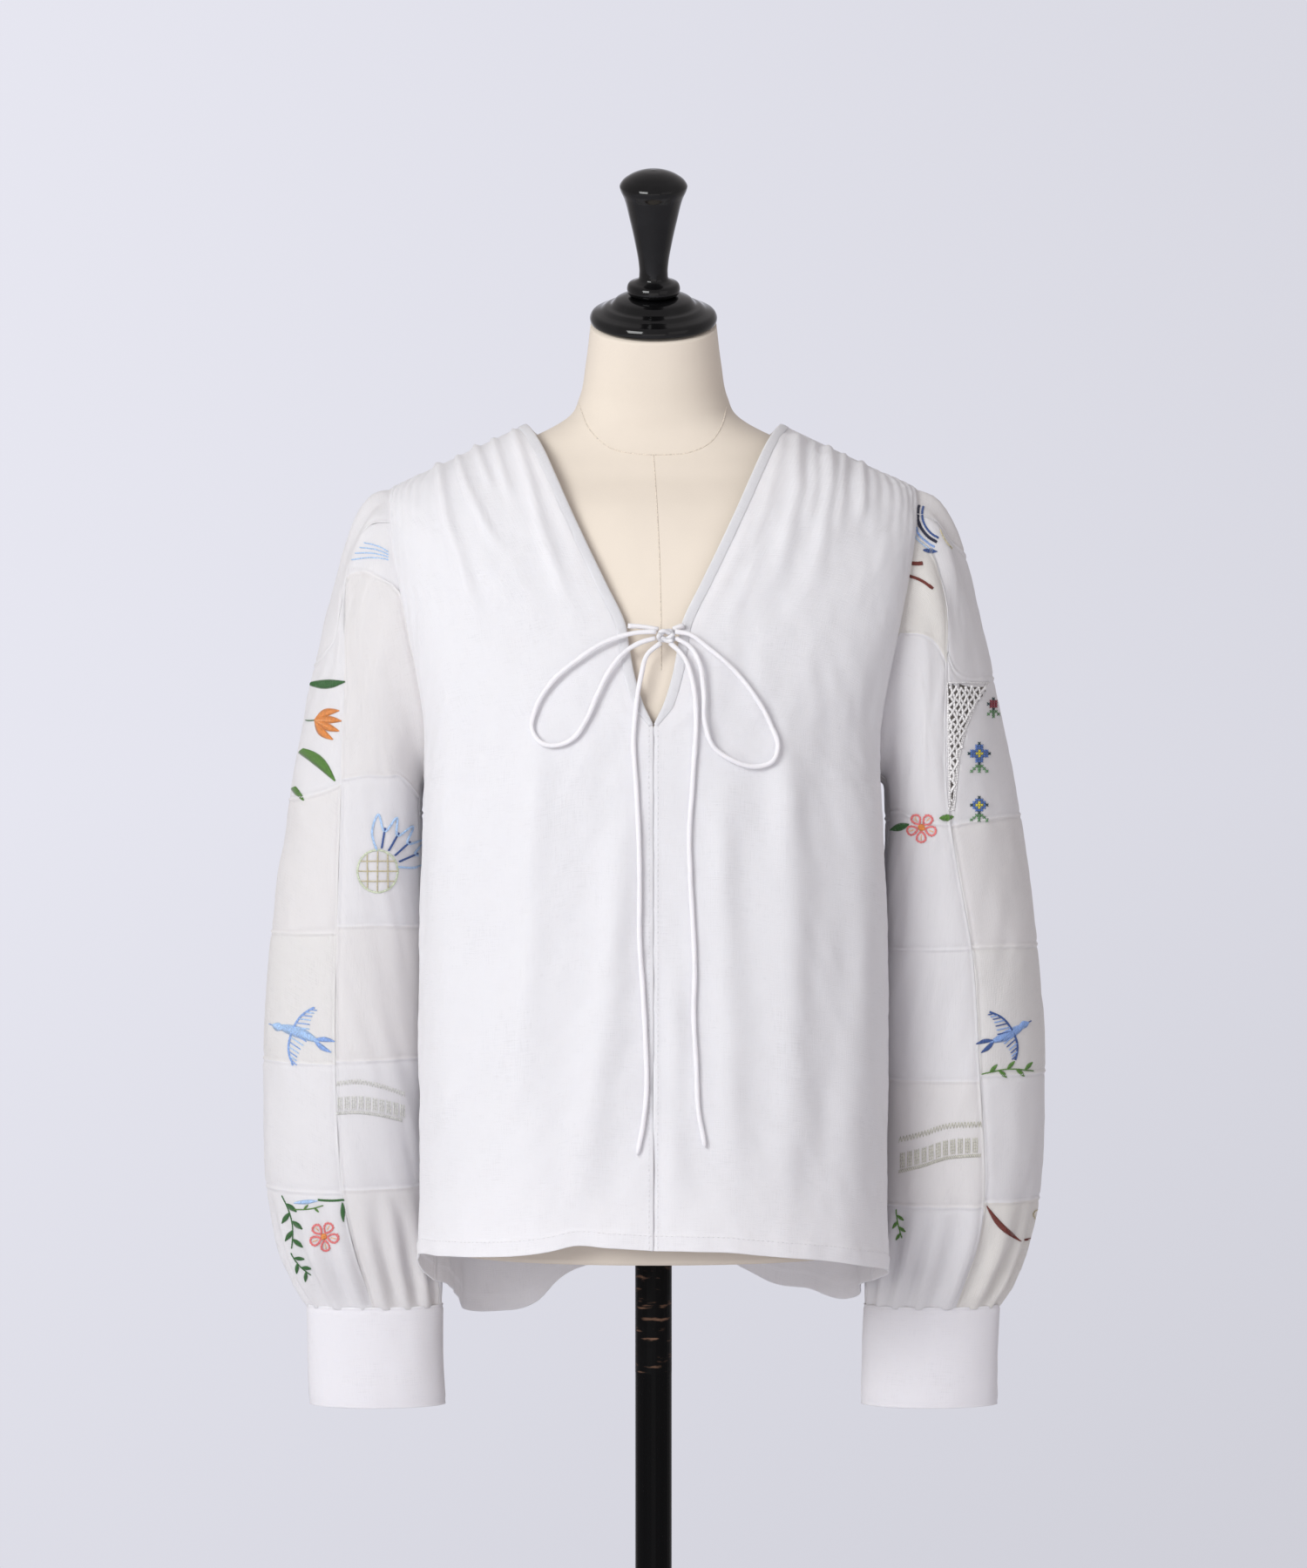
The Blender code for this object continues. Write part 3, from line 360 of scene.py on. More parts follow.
LEFT_SLEEVE_CREASES = [
    (-2.4, 3, 3, 0, [(406, 644), (428, 638), (450, 648)]),
    (1.8, 4, 6, 0, [(452, 662), (432, 672), (404, 700)]),
    (2.4, 4, 8, 0, [(462, 676), (440, 706), (402, 748)]),
    (1.6, 3, 5, 0, [(448, 622), (430, 624), (410, 640)]),
    (-1.8, 4, 6, 0, [(424, 606), (404, 640), (394, 690)]),
    (-1.6, 9, 12, 0, [(420, 790), (412, 900), (404, 1010)]),
    (1.6, 12, 14, 0, [(340, 1000), (334, 1100), (346, 1200)]),
    (1.4, 10, 12, 0, [(350, 1230), (360, 1300), (356, 1370)]),
    (3.4, 4, 3, 0, [(350, 1400), (356, 1450), (366, 1500)]),
    (3.2, 3, 3, 0, [(368, 1420), (370, 1460), (377, 1502)]),
    (3.6, 4, 3, 0, [(384, 1420), (384, 1460), (391, 1502)]),
    (3.8, 4, 3, 0, [(410, 1370), (412, 1440), (414, 1504)]),
    (3.4, 4, 3, 0, [(440, 1380), (434, 1450), (428, 1504)]),
    (2.8, 4, 3, 0, [(458, 1420), (450, 1460), (442, 1504)]),
]
RIGHT_SLEEVE_CREASES = [
    (2.8, 4, 6, 0, [(1056, 630), (1082, 668), (1098, 712), (1110, 752)]),
    (-3.2, 5, 6, 0, [(1070, 640), (1094, 680), (1108, 722), (1119, 752)]),
    (2.2, 6, 8, 0, [(1096, 650), (1118, 700), (1128, 760)]),
    (1.6, 10, 12, 0, [(1070, 980), (1078, 1040), (1084, 1100)]),
    (-1.2, 8, 10, 0, [(1128, 960), (1138, 1040), (1140, 1120)]),
    (1.6, 8, 10, 0, [(1150, 1240), (1160, 1310), (1158, 1380)]),
    (3.4, 4, 3, 0, [(1046, 1400), (1050, 1460), (1052, 1506)]),
    (-2.4, 5, 3, 0, [(1062, 1396), (1062, 1450), (1064, 1506)]),
    (3.4, 4, 3, 0, [(1074, 1400), (1078, 1460), (1080, 1506)]),
    (3.2, 4, 3, 0, [(1098, 1430), (1096, 1470), (1096, 1506)]),
    (-2.4, 4, 3, 0, [(1133, 1390), (1130, 1450), (1122, 1508)]),
    (3.4, 4, 3, 0, [(1144, 1400), (1142, 1450), (1133, 1508)]),
    (3.2, 4, 3, 0, [(1166, 1430), (1156, 1474), (1146, 1508)]),
]


def armhole_turn(share, facing):
    """The angle round the armhole that a panel's row ends at. facing is -1 for the front and 1 for the back."""
    low = 180.0 - 90.0 * np.clip((share - UNDERARM) / (MID_ARMHOLE - UNDERARM), 0.0, 1.0)
    high = 90.0 * np.clip((share - MID_ARMHOLE) / (1.0 - MID_ARMHOLE), 0.0, 1.0)
    return facing * (low - high)


def sleeve_ring(side, ring, turn):
    """A point of the sleeve without its gathers: turn is in degrees, 0 on top, -90 at the front."""
    across, depth = np.cos(np.radians(turn)), np.sin(np.radians(turn))
    outer_x, inner_x = SLEEVE.read("outer_x", ring), SLEEVE.read("inner_x", ring)
    outer_z, inner_z = SLEEVE.read("outer_z", ring), SLEEVE.read("inner_z", ring)
    bow = ARMHOLE_BOW * depth**2 * across * (1.0 - smooth_step(0.0, 3.0, ring))
    x = (outer_x + inner_x) / 2 + (outer_x - inner_x) / 2 * across + bow
    y = SLEEVE.read("centre_y", ring) + SLEEVE.read("half_depth", ring) * depth
    z = (outer_z + inner_z) / 2 + (outer_z - inner_z) / 2 * across
    return np.stack([side * x, y, z], axis=-1)


def sleeve_gather(side, ring, turn):
    """How far the gathers at the head and above the cuff stand out."""
    head = smooth_step(0.0, 1.0, ring) * (1.0 - smooth_step(1.5, 3.6, ring))
    head = head * smooth_step(-0.2, 0.5, np.cos(np.radians(turn)))
    above_cuff = smooth_step(11.2, 13.6, ring) * (1.0 - 0.62 * smooth_step(14.0, 15.0, ring))
    head_wave = np.cos(np.radians(HEAD_GATHERS * turn + 30.0 * side))
    cuff_wave = np.cos(np.radians(CUFF_GATHERS * turn) + 0.9 * np.sin(np.radians(3 * turn + 40 * side)))
    drape = np.sin(np.radians(2 * turn + 30 * side)) * np.sin(ring * 0.55 + side)
    drape = drape * smooth_step(1.0, 5.0, ring) * (1.0 - smooth_step(10.0, 13.0, ring))
    return 1.8 * head * head_wave + 3.0 * above_cuff * cuff_wave + 1.2 * drape


def side_edge(share, facing):
    """Where a panel's row ends: the side seam, then the armhole."""
    side = np.stack([SIDE_EDGE.read(name, share) for name in ("x", "y", "z")], axis=-1)
    arm = sleeve_ring(1, np.zeros_like(share), armhole_turn(share, facing))
    return np.where((share <= UNDERARM)[..., None], side, arm)


def panel_fold(side, facing, across, share):
    """How far the broad folds of the front or the back stand out."""
    inside = np.sin(np.pi * np.clip(across, 0, 1)) ** 0.8
    hang = 1.0 - smooth_step(0.0, 0.50, share)
    phase = 0.9 * side + 1.7 * facing
    hem = np.sin(across * 15.0 + phase) * 3.4 + np.sin(across * 8.0 - 2.0 * phase) * 3.0
    gather = np.cos(2 * np.pi * (9.0 * across**2 + 0.06 * np.sin(11.0 * across + side)) + side)
    reach = smooth_step(0.76, 0.94, share) * (1 - smooth_step(0.96, 1.0, share))
    reach = reach * smooth_step(0.09, 0.20, across) * (1 - smooth_step(0.93, 1.0, across))
    if facing < 0:
        return 0.3 * hem * inside * hang + 0.5 * gather * reach
    return hem * inside * hang + 1.7 * gather * reach


def panel_point(side, facing, across, share):
    """A point of the front (facing -1) or back (facing 1) without its folds; across runs from centre 0 to side 1."""
    across, share = np.broadcast_arrays(np.asarray(across, float), np.asarray(share, float))
    edge = FRONT_EDGE if facing < 0 else BACK_EDGE
    start = np.stack([edge.read(name, share) for name in ("x", "y", "z")], axis=-1)
    start[..., 0] = start[..., 0].clip(0.0)
    end = side_edge(share, facing)
    squareness = edge.read("squareness", share)
    turn = across * math.pi / 2
    ahead, aside = np.cos(turn).clip(0.0, 1.0), np.sin(turn)
    reach_out = (ahead**squareness + aside**squareness) ** (-1.0 / squareness)
    along = aside * reach_out
    back = 1.0 - ahead * reach_out
    level = (1.0 - share) * across**2 + share * along
    press, press_y = SIDE_EDGE.read("press", share), SIDE_EDGE.read("press_y", share)
    y = start[..., 1] + (end[..., 1] - start[..., 1]) * back
    reach = SIDE_EDGE.read("reach", share)

    def pressed(depth):
        return press * np.exp(-0.5 * ((depth - press_y) / reach) ** 2)

    inner_x = start[..., 0] + pressed(start[..., 1])
    outer_x = end[..., 0] + pressed(end[..., 1])
    x = inner_x + (outer_x - inner_x) * along - pressed(y)
    quarter = ("front" if facing < 0 else "back") + ("_left" if side < 0 else "_right")
    dip = HEM_DIP.read(quarter, across) * (1.0 - share / UNDERARM).clip(0, 1) ** 2
    z = start[..., 2] + (end[..., 2] - start[..., 2]) * level + dip
    return np.stack([side * x, y, z], axis=-1)


def to_picture(points):
    """The picture's (column, row) of each point."""
    far = (points[..., 1] - CAMERA[1]) / -CAMERA[1]
    column = PICTURE_CENTRE[0] + points[..., 0] / (PIXEL * far)
    row = PICTURE_CENTRE[1] - (points[..., 2] - CAMERA[2]) / (PIXEL * far)
    return np.stack([column, row], axis=-1)


def near_route(places, route):
    """Each place's distance from a line of points, and the share of the line's length at the nearest point."""
    route = np.array(route, float)
    lengths = lengths_along(route)
    best = np.full(places.shape[:-1], 1e9)
    share = np.zeros_like(best)
    for start, end, low, high in zip(route, route[1:], lengths, lengths[1:]):
        step = end - start
        part = np.clip(((places - start) @ step) / (step @ step), 0.0, 1.0)
        distance = np.linalg.norm(places - start - part[..., None] * step, axis=-1)
        nearer = distance < best
        best = np.where(nearer, distance, best)
        share = np.where(nearer, (low + (high - low) * part) / lengths[-1], share)
    return best, share


def crease_height(points, creases):
    """How far the creases placed in the picture stand out at each point."""
    places = to_picture(points)
    height = np.zeros(places.shape[:-1])
    for lift, start_width, end_width, full_start, route in creases:
        distance, share = near_route(places, route)
        width = start_width + (end_width - start_width) * share
        rise = 1.0 if full_start else smooth_step(0.0, 0.25, share)
        height += lift * bell(distance, 0.0, width) * rise * (1.0 - smooth_step(0.6, 1.0, share))
    return height


def ripples(u, v, size, seed):
    """Smooth noise from -1 to 1 over the cloth, with dimples about size millimetres across."""
    grid = np.random.default_rng(seed).uniform(-1.0, 1.0, (NOISE_CELLS, NOISE_CELLS))
    u, v = u / size, v / size
    low_u, low_v = np.floor(u).astype(int), np.floor(v).astype(int)
    part_u, part_v = smooth_step(0.0, 1.0, u - low_u), smooth_step(0.0, 1.0, v - low_v)
    corner = [grid[(low_u + i) % NOISE_CELLS, (low_v + j) % NOISE_CELLS] for i in (0, 1) for j in (0, 1)]
    low = corner[0] * (1 - part_v) + corner[1] * part_v
    high = corner[2] * (1 - part_v) + corner[3] * part_v
    return low * (1 - part_u) + high * part_u


def run_lengths(points):
    """Lengths along the rows and along the columns of a grid of points, from its first column and row."""
    along = np.linalg.norm(np.diff(points, axis=1), axis=-1)
    up = np.linalg.norm(np.diff(points, axis=0), axis=-1)
    u = np.concatenate([np.zeros((len(points), 1)), np.cumsum(along, axis=1)], axis=1)
    v = np.concatenate([np.zeros((1, points.shape[1])), np.cumsum(up, axis=0)], axis=0)
    return u, v


def grid_facing(points, flip):
    """The outward direction at each point of a grid."""
    along = np.gradient(points, axis=1)
    up = np.gradient(points, axis=0)
    return flip * unit(np.cross(along, up))


def spaced(length, step):
    """Shares from 0 to 1 about step apart, closer together at the ends, which hold a seam."""
    start = np.array([0.0, 0.7, 1.5, 2.4, 3.4, 5.0])
    end = length - start[::-1]
    count = max(2, round((end[0] - start[-1]) / step) + 1)
    return np.concatenate([start[:-1], np.linspace(start[-1], end[0], count), end[1:]]) / length


def seam_ridge(distance):
    """The small swell of the turned cloth beside a seam."""
    return 0.55 * bell(distance, 2.2, 1.4)


def place_share(distance):
    """A panel's share at a distance in millimetres above the hem."""
    low = UNDERARM * distance / PANEL_LOWER
    high = UNDERARM + (1.0 - UNDERARM) * (distance - PANEL_LOWER) / PANEL_UPPER
    return np.where(distance < PANEL_LOWER, low, high)


def panel_grid(side, facing):
    """Points of one front or half the back, with hem, seams, folds and creases."""
    fine = [0, 0.8, 1.8, 3, 4.5, 6, 7.5, 9, 10, 10.8, 11.6, 12.6, 14, 16]
    top = PANEL_LOWER + PANEL_UPPER
    rows = np.concatenate([fine, np.arange(19, top - 6, CLOTH_STEP), [top - 4.5, top - 3, top - 1.5, top - 0.6, top]])
    across, share = np.meshgrid(spaced(PANEL_WIDTH, CLOTH_STEP), place_share(rows))
    base = panel_point(side, facing, across, share)
    facing_out = grid_facing(base, side * -facing)
    u, v = run_lengths(base)
    from_side = u[:, -1:] - u
    height = panel_fold(side, facing, across, share)
    edge_fade = smooth_step(0.0, 10.0, from_side) * smooth_step(0.0, 12.0, top - rows)[:, None]
    neck = smooth_step(SLIT_FOOT - 0.03, SLIT_FOOT, share) if facing < 0 else 1.0
    edge_fade = edge_fade * (1.0 - (1.0 - smooth_step(2.0, 11.0, u)) * neck)
    if facing < 0:
        height += crease_height(base, FRONT_CREASES) * edge_fade
        below_slit = 1 - smooth_step(SLIT_FOOT - 0.02, SLIT_FOOT, share)
        height += (0.25 * bell(u, 2.4, 1.0) - 0.25 * bell(u, 0.0, 0.8)) * below_slit
    wrinkles = 0.9 * ripples(u, v * 0.3, 15.0, 5 + side + 3 * facing)
    wrinkles += 0.5 * ripples(u + 0.5 * v, v * 0.5, 9.0, 15 - side)
    height += (wrinkles + 0.2 * ripples(u, v, 5.0, 9 + side)) * edge_fade
    height += (seam_ridge(from_side) + seam_ridge(top - v)) * smooth_step(0.0, 1.5, from_side)
    turned = 0.5 * (1.0 - smooth_step(HEM_WIDTH - 0.8, HEM_WIDTH + 0.8, v))
    pucker = 0.45 * bell(v, HEM_WIDTH - 1.5, 5.0) * ripples(u, v * 0.35, 3.6, 21 + side + facing)
    height += (turned + pucker * smooth_step(0.0, 8.0, u)) * smooth_step(0.0, 4.0, from_side)
    return base + facing_out * height[..., None], u, v


def ring_at(side, turn, height):
    """The ring at which the sleeve reaches a height, for each angle."""
    rings = np.linspace(0.0, SLEEVE_RINGS, 200)
    found = []
    for angle in np.atleast_1d(turn):
        z = sleeve_ring(side, rings, np.full_like(rings, angle))[..., 2]
        found.append(np.interp(-height, -z, rings))
    return np.array(found)


def strip_grid(side, name, first, last):
    """Points of one column of patches, and the rows of the grid where a new patch starts."""
    start_turn, end_turn = first(MIDDLE_RING), last(MIDDLE_RING)
    turns = spaced(abs(end_turn - start_turn), 3.0)
    middle = start_turn + (end_turn - start_turn) * turns
    seams = [ring_at(side, middle, height) for height in PATCH_SEAMS["left" if side < 0 else "right"][name]]
    bounds = [np.zeros_like(turns), *seams, np.full_like(turns, float(SLEEVE_RINGS))]
    levels = [sleeve_ring(side, bound, middle)[..., 2].mean() for bound in bounds]
    rings, starts = [], []
    for low, high, top, bottom in zip(bounds, bounds[1:], levels, levels[1:]):
        starts.append(sum(len(made) for made in rings))
        parts = spaced(max(top - bottom, 20.0), CLOTH_STEP)
        rings.append(low + (high - low) * (parts[1:] if rings else parts)[:, None])
    rings = np.concatenate(rings)
    low_turn, high_turn = first(rings), last(rings)
    turn = low_turn + (high_turn - low_turn) * turns
    base = sleeve_ring(side, rings, turn)
    facing_out = grid_facing(base, side)
    u, v = run_lengths(base)
    front = smooth_step(-0.05, 0.35, -facing_out[..., 1])
    creases = LEFT_SLEEVE_CREASES if side < 0 else RIGHT_SLEEVE_CREASES
    gather = sleeve_gather(side, rings, turn) * (1.0 - 0.25 * front)
    end_fade = smooth_step(0.0, 8.0, v) * smooth_step(0.0, 3.0, v[-1:] - v)
    height = gather + crease_height(base, creases) * front * end_fade
    seed = len(name) + 3 * side + int(abs(start_turn))
    height += (0.75 * ripples(u, v * 0.5, 13.0, seed) + 0.22 * ripples(u, v, 5.0, seed + 1)) * end_fade
    across = np.minimum(u, u[:, -1:] - u)
    height += seam_ridge(across) * smooth_step(0.0, 6.0, v) * smooth_step(0.0, 6.0, v[-1:] - v)
    off_edge = smooth_step(0.0, 1.2, across)
    for start in starts[1:]:
        beyond = v - v[start - 1]
        height += (seam_ridge(np.abs(beyond)) - 0.45 * bell(beyond, 0.0, 0.7)) * off_edge
    height += seam_ridge(v) * off_edge
    return base + facing_out * height[..., None], u, v, starts


# Materials

# Length of one wave of Blender's wave texture at scale 1
WAVE_LENGTH = 0.314


def add_node(tree, kind, inputs=(), **settings):
    """A shader node with its settings, each input either linked or set."""
    made = tree.nodes.new("ShaderNode" + kind)
    for name, value in settings.items():
        setattr(made, name, value)
    for socket, value in dict(inputs).items():
        if isinstance(value, bpy.types.NodeSocket):
            tree.links.new(value, made.inputs[socket])
        else:
            made.inputs[socket].default_value = value
    return made


class Paint:
    """A material built node by node, ending in one shader."""

    def __init__(self, name, roughness, **sockets):
        self.made = bpy.data.materials.new(name)
        self.made.use_nodes = True
        self.tree = self.made.node_tree
        self.shader = self.tree.nodes["Principled BSDF"]
        self.shader.inputs["Roughness"].default_value = roughness
        self.set(**sockets)

    def set(self, **sockets):
        for socket, value in sockets.items():
            self.shader.inputs[socket.replace("_", " ")].default_value = value

    def node(self, kind, inputs=(), **settings):
        return add_node(self.tree, kind, inputs, **settings)

    def cloth_map(self, scale=(1.0, 1.0, 1.0)):
        """Coordinates along and across the threads, in metres times scale."""
        place = self.node("UVMap", uv_map="cloth").outputs[0]
        return self.node("Mapping", {"Vector": place, "Scale": scale}).outputs[0]

    def object_map(self, scale=(1.0, 1.0, 1.0)):
        place = self.node("TexCoord").outputs["Object"]
        return self.node("Mapping", {"Vector": place, "Scale": scale}).outputs[0]

    def noise(self, vector, scale, detail=2.0):
        return self.node("TexNoise", {"Vector": vector, "Scale": scale, "Detail": detail}).outputs["Fac"]

    def math(self, kind, first, second):
        return self.node("Math", {0: first, 1: second}, operation=kind).outputs[0]

    def weighted(self, first, first_share, second, second_share):
        scaled = [self.math("MULTIPLY", *pair) for pair in ((first, first_share), (second, second_share))]
        return self.math("ADD", *scaled)

    def ramp(self, factor, stops):
        made = self.node("ValToRGB", {0: factor})
        elements = made.color_ramp.elements
        while len(elements) < len(stops):
            elements.new(0.5)
        for element, (place, colour) in zip(elements, stops):
            element.position = place
            element.color = (*colour, 1.0)
        return made.outputs[0]

    def colour(self, socket):
        self.tree.links.new(socket, self.shader.inputs["Base Color"])

    def roughness(self, socket, low, high):
        spread = self.node("MapRange", {"Value": socket, "To Min": low, "To Max": high}).outputs[0]
        self.tree.links.new(spread, self.shader.inputs["Roughness"])

    def bump(self, height, strength, distance):
        made = self.node("Bump", {"Height": height, "Strength": strength, "Distance": distance})
        self.tree.links.new(made.outputs[0], self.shader.inputs["Normal"])


def shade(colour, factor):
    return tuple(c * factor for c in colour)


def linen(name, colour, thread=0.00062, strength=0.35, wear=0.05):
    """Plain-woven linen: fine crossing threads, uneven yarn and faint cloudy tone."""
    paint = Paint(name, 0.86, Sheen_Weight=0.12, Sheen_Roughness=0.5, Specular_IOR_Level=0.25)
    paint.set(Subsurface_Weight=0.55, Subsurface_Radius=(1.0, 0.95, 0.9), Subsurface_Scale=0.0035)
    flat = paint.cloth_map()
    wave = {"Vector": flat, "Scale": WAVE_LENGTH / thread, "Distortion": 1.2, "Detail Scale": 3.0}
    weave = paint.math("MAXIMUM", *(paint.node("TexWave", wave, bands_direction=way).outputs["Fac"] for way in "XY"))
    stretches = (0.06, 1.0, 1.0), (1.0, 0.06, 1.0)
    slub = paint.math("ADD", *(paint.noise(paint.cloth_map(stretch), 1500.0, 1.0) for stretch in stretches))
    tone = paint.weighted(slub, 0.5, paint.noise(flat, 26.0, 3.0), 0.5)
    paint.colour(paint.ramp(tone, [(0.30, shade(colour, 1.0 - 2.4 * wear)), (0.70, shade(colour, 1.0 + 0.4 * wear))]))
    height = paint.math("ADD", paint.math("MULTIPLY", weave, 0.45), slub)
    paint.bump(height, strength, 0.0003)
    paint.roughness(slub, 0.78, 0.95)
    return paint.made


def floss(name, colour):
    """Stranded embroidery thread: a soft gloss and a slight change of tone from strand to strand."""
    paint = Paint(name, 0.5, Sheen_Weight=0.25, Specular_IOR_Level=0.45)
    place = paint.object_map()
    tone = paint.noise(place, 900.0, 2.0)
    paint.colour(paint.ramp(tone, [(0.3, shade(colour, 0.72)), (0.7, shade(colour, 1.18))]))
    paint.bump(paint.noise(place, 2600.0, 1.0), 0.4, 0.0002)
    return paint.made


def cover(name):
    """Tight cream cotton over the form, with a fine knit grain and soft age marks."""
    paint = Paint(name, 0.8, Sheen_Weight=0.1, Specular_IOR_Level=0.3)
    flat = paint.cloth_map()
    cream = (0.80, 0.72, 0.62)
    cloudy = paint.noise(paint.object_map((1.0, 1.0, 0.6)), 9.0, 5.0)
    grain = paint.noise(flat, 1700.0, 2.0)
    tone = paint.weighted(cloudy, 0.75, grain, 0.25)
    paint.colour(paint.ramp(tone, [(0.3, shade(cream, 0.9)), (0.7, shade(cream, 1.05))]))
    ribs = paint.node("TexWave", {"Vector": flat, "Scale": 520.0, "Distortion": 0.8}).outputs["Fac"]
    paint.bump(paint.math("ADD", grain, paint.math("MULTIPLY", ribs, 0.4)), 0.25, 0.0002)
    return paint.made


def lacquer(name):
    """Gloss black lacquer on turned wood, with faint dust and turning lines."""
    paint = Paint(name, 0.12, Coat_Weight=0.15, Coat_Roughness=0.05, Specular_IOR_Level=0.28)
    place = paint.object_map()
    dust = paint.noise(place, 60.0, 6.0)
    paint.colour(paint.ramp(dust, [(0.45, (0.0025, 0.0025, 0.0028)), (0.8, (0.007, 0.007, 0.0075))]))
    paint.roughness(dust, 0.04, 0.14)
    lines = paint.noise(paint.object_map((0.1, 0.1, 1.0)), 700.0, 1.0)
    paint.bump(lines, 0.05, 0.0003)
    return paint.made


def worn_paint(name, rings_low, rings_high):
    """Black stand paint, rubbed to brown in rings and short scratches between two heights."""
    paint = Paint(name, 0.3, Specular_IOR_Level=0.07)
    place = paint.object_map()
    fine = paint.noise(place, 340.0, 4.0)
    paint.colour(paint.ramp(fine, [(0.4, (0.0022, 0.0022, 0.0024)), (0.9, (0.007, 0.0066, 0.0068))]))
    if rings_high > rings_low:
        height = paint.node("SeparateXYZ", {0: place}).outputs[2]
        inside = paint.math(
            "MULTIPLY", paint.math("GREATER_THAN", height, rings_low), paint.math("LESS_THAN", height, rings_high)
        )
        bands = paint.noise(paint.object_map((3.0, 3.0, 130.0)), 1.6, 3.0)
        flecks = paint.noise(paint.object_map((60.0, 60.0, 260.0)), 1.2, 4.0)
        worn = paint.math("MULTIPLY", paint.math("MULTIPLY", bands, flecks), inside)
        rubbed = paint.ramp(worn, [(0.30, (0.0, 0.0, 0.0)), (0.40, (1.0, 1.0, 1.0))])
        tones = {0: rubbed, 6: (0.0025, 0.0025, 0.0028, 1.0), 7: (0.16, 0.09, 0.06, 1.0)}
        paint.colour(paint.node("Mix", tones, data_type="RGBA").outputs[2])
        paint.roughness(worn, 0.22, 0.75)
    paint.bump(fine, 0.12, 0.0003)
    return paint.made


MATERIALS = {
    "body": linen("body_linen", (0.83, 0.82, 0.85)),
    "cuff": linen("cuff_linen", (0.755, 0.745, 0.78)),
    "white": linen("white_patch", (0.77, 0.752, 0.768)),
    "soft": linen("soft_patch", (0.757, 0.729, 0.725), thread=0.0008),
    "cream": linen("cream_patch", (0.767, 0.734, 0.692), thread=0.0009, strength=0.5, wear=0.07),
    "beige": linen("beige_patch", (0.743, 0.72, 0.706), thread=0.0010, strength=0.6, wear=0.08),
    "binding": linen("binding_linen", (0.84, 0.83, 0.86), thread=0.0005),
    "tie": linen("tie_linen", (0.82, 0.81, 0.84), thread=0.0005, strength=0.5),
    "form": cover("form_cover_cloth"),
    "lacquer": lacquer("black_lacquer"),
    "pole": worn_paint("pole_paint", 0.695, 0.775),
    "base_plate": worn_paint("base_paint", 0.0, 0.0),
}


def link_object(name, data):
    made = bpy.data.objects.new(name, data)
    bpy.context.scene.collection.objects.link(made)
    return made


def take_place(node):
    """Hides the solid that a piece shows in place of."""
    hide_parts(node)


def add_grid(name, points, materials, u, v, flip, face_material=None, thickness=CLOTH_WALL, closed=False):
    """A cloth object from a grid of points, with the threads' coordinates and a thin wall."""
    rows, columns = points.shape[:2]
    index = np.arange(rows * columns).reshape(rows, columns)
    corners = [index[:-1, :-1], index[:-1, 1:], index[1:, 1:], index[1:, :-1]]
    faces = np.stack([c.ravel() for c in corners], axis=-1)
    if flip < 0:
        faces = faces[:, ::-1]
    mesh = bpy.data.meshes.new(name)
    mesh.from_pydata((points.reshape(-1, 3) * MM).tolist(), [], faces.tolist())
    for made in materials:
        mesh.materials.append(made)
    if face_material is not None:
        mesh.polygons.foreach_set("material_index", np.asarray(face_material, np.int32).ravel())
    layer = mesh.uv_layers.new(name="cloth")
    flat = np.stack([u.ravel(), v.ravel()], axis=-1) * MM
    layer.data.foreach_set("uv", flat[faces.ravel()].astype(np.float32).ravel())
    if closed:
        weld_seam(mesh)
    mesh.shade_smooth()
    made = link_object(name, mesh)
    if thickness:
        wall = made.modifiers.new("wall", "SOLIDIFY")
        wall.thickness = thickness * MM
        wall.offset = 0.0
    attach(made, "root")
    return made


def edit_mesh(mesh, change):
    work = bmesh.new()
    work.from_mesh(mesh)
    change(work)
    work.to_mesh(mesh)
    work.free()


def weld_seam(mesh):
    """Joins the first and last columns of a grid that closes on itself."""
    edit_mesh(mesh, lambda work: bmesh.ops.remove_doubles(work, verts=work.verts, dist=0.00002))


# The camera, at the picture's height and distance


def add_camera():
    made = link_object("camera", bpy.data.cameras.new("camera"))
    made.location = CAMERA * MM
    made.rotation_euler = (math.radians(90.0), 0.0, 0.0)
    made.data.lens = 100.0
    made.data.sensor_width = 36.0
    bpy.context.scene.camera = made


# The ties


def smooth_route(route, step):
    """Points about step apart on a smooth curve through the route's own points."""
    route = np.array(route, float)
    lengths = lengths_along(route[:, :2])
    slopes = np.gradient(route, lengths, axis=0)
    at = np.linspace(0.0, lengths[-1], max(3, round(lengths[-1] / step) + 1))
    low = np.clip(np.searchsorted(lengths, at, side="right") - 1, 0, len(lengths) - 2)
    span = (lengths[low + 1] - lengths[low])[:, None]
    part = (at - lengths[low])[:, None] / span
    return between(part, route[low], route[low + 1], slopes[low] * span, slopes[low + 1] * span)


def lay_on_front(places, cloth):
    """Turns (across, up, lift) into points in front of the cloth."""
    points = []
    for x, z, lift in places:
        near = np.argsort((cloth[:, 0] - x) ** 2 + (cloth[:, 2] - z) ** 2)[:6]
        points.append((x, cloth[near, 1].mean() - lift, z))
    return np.array(points)


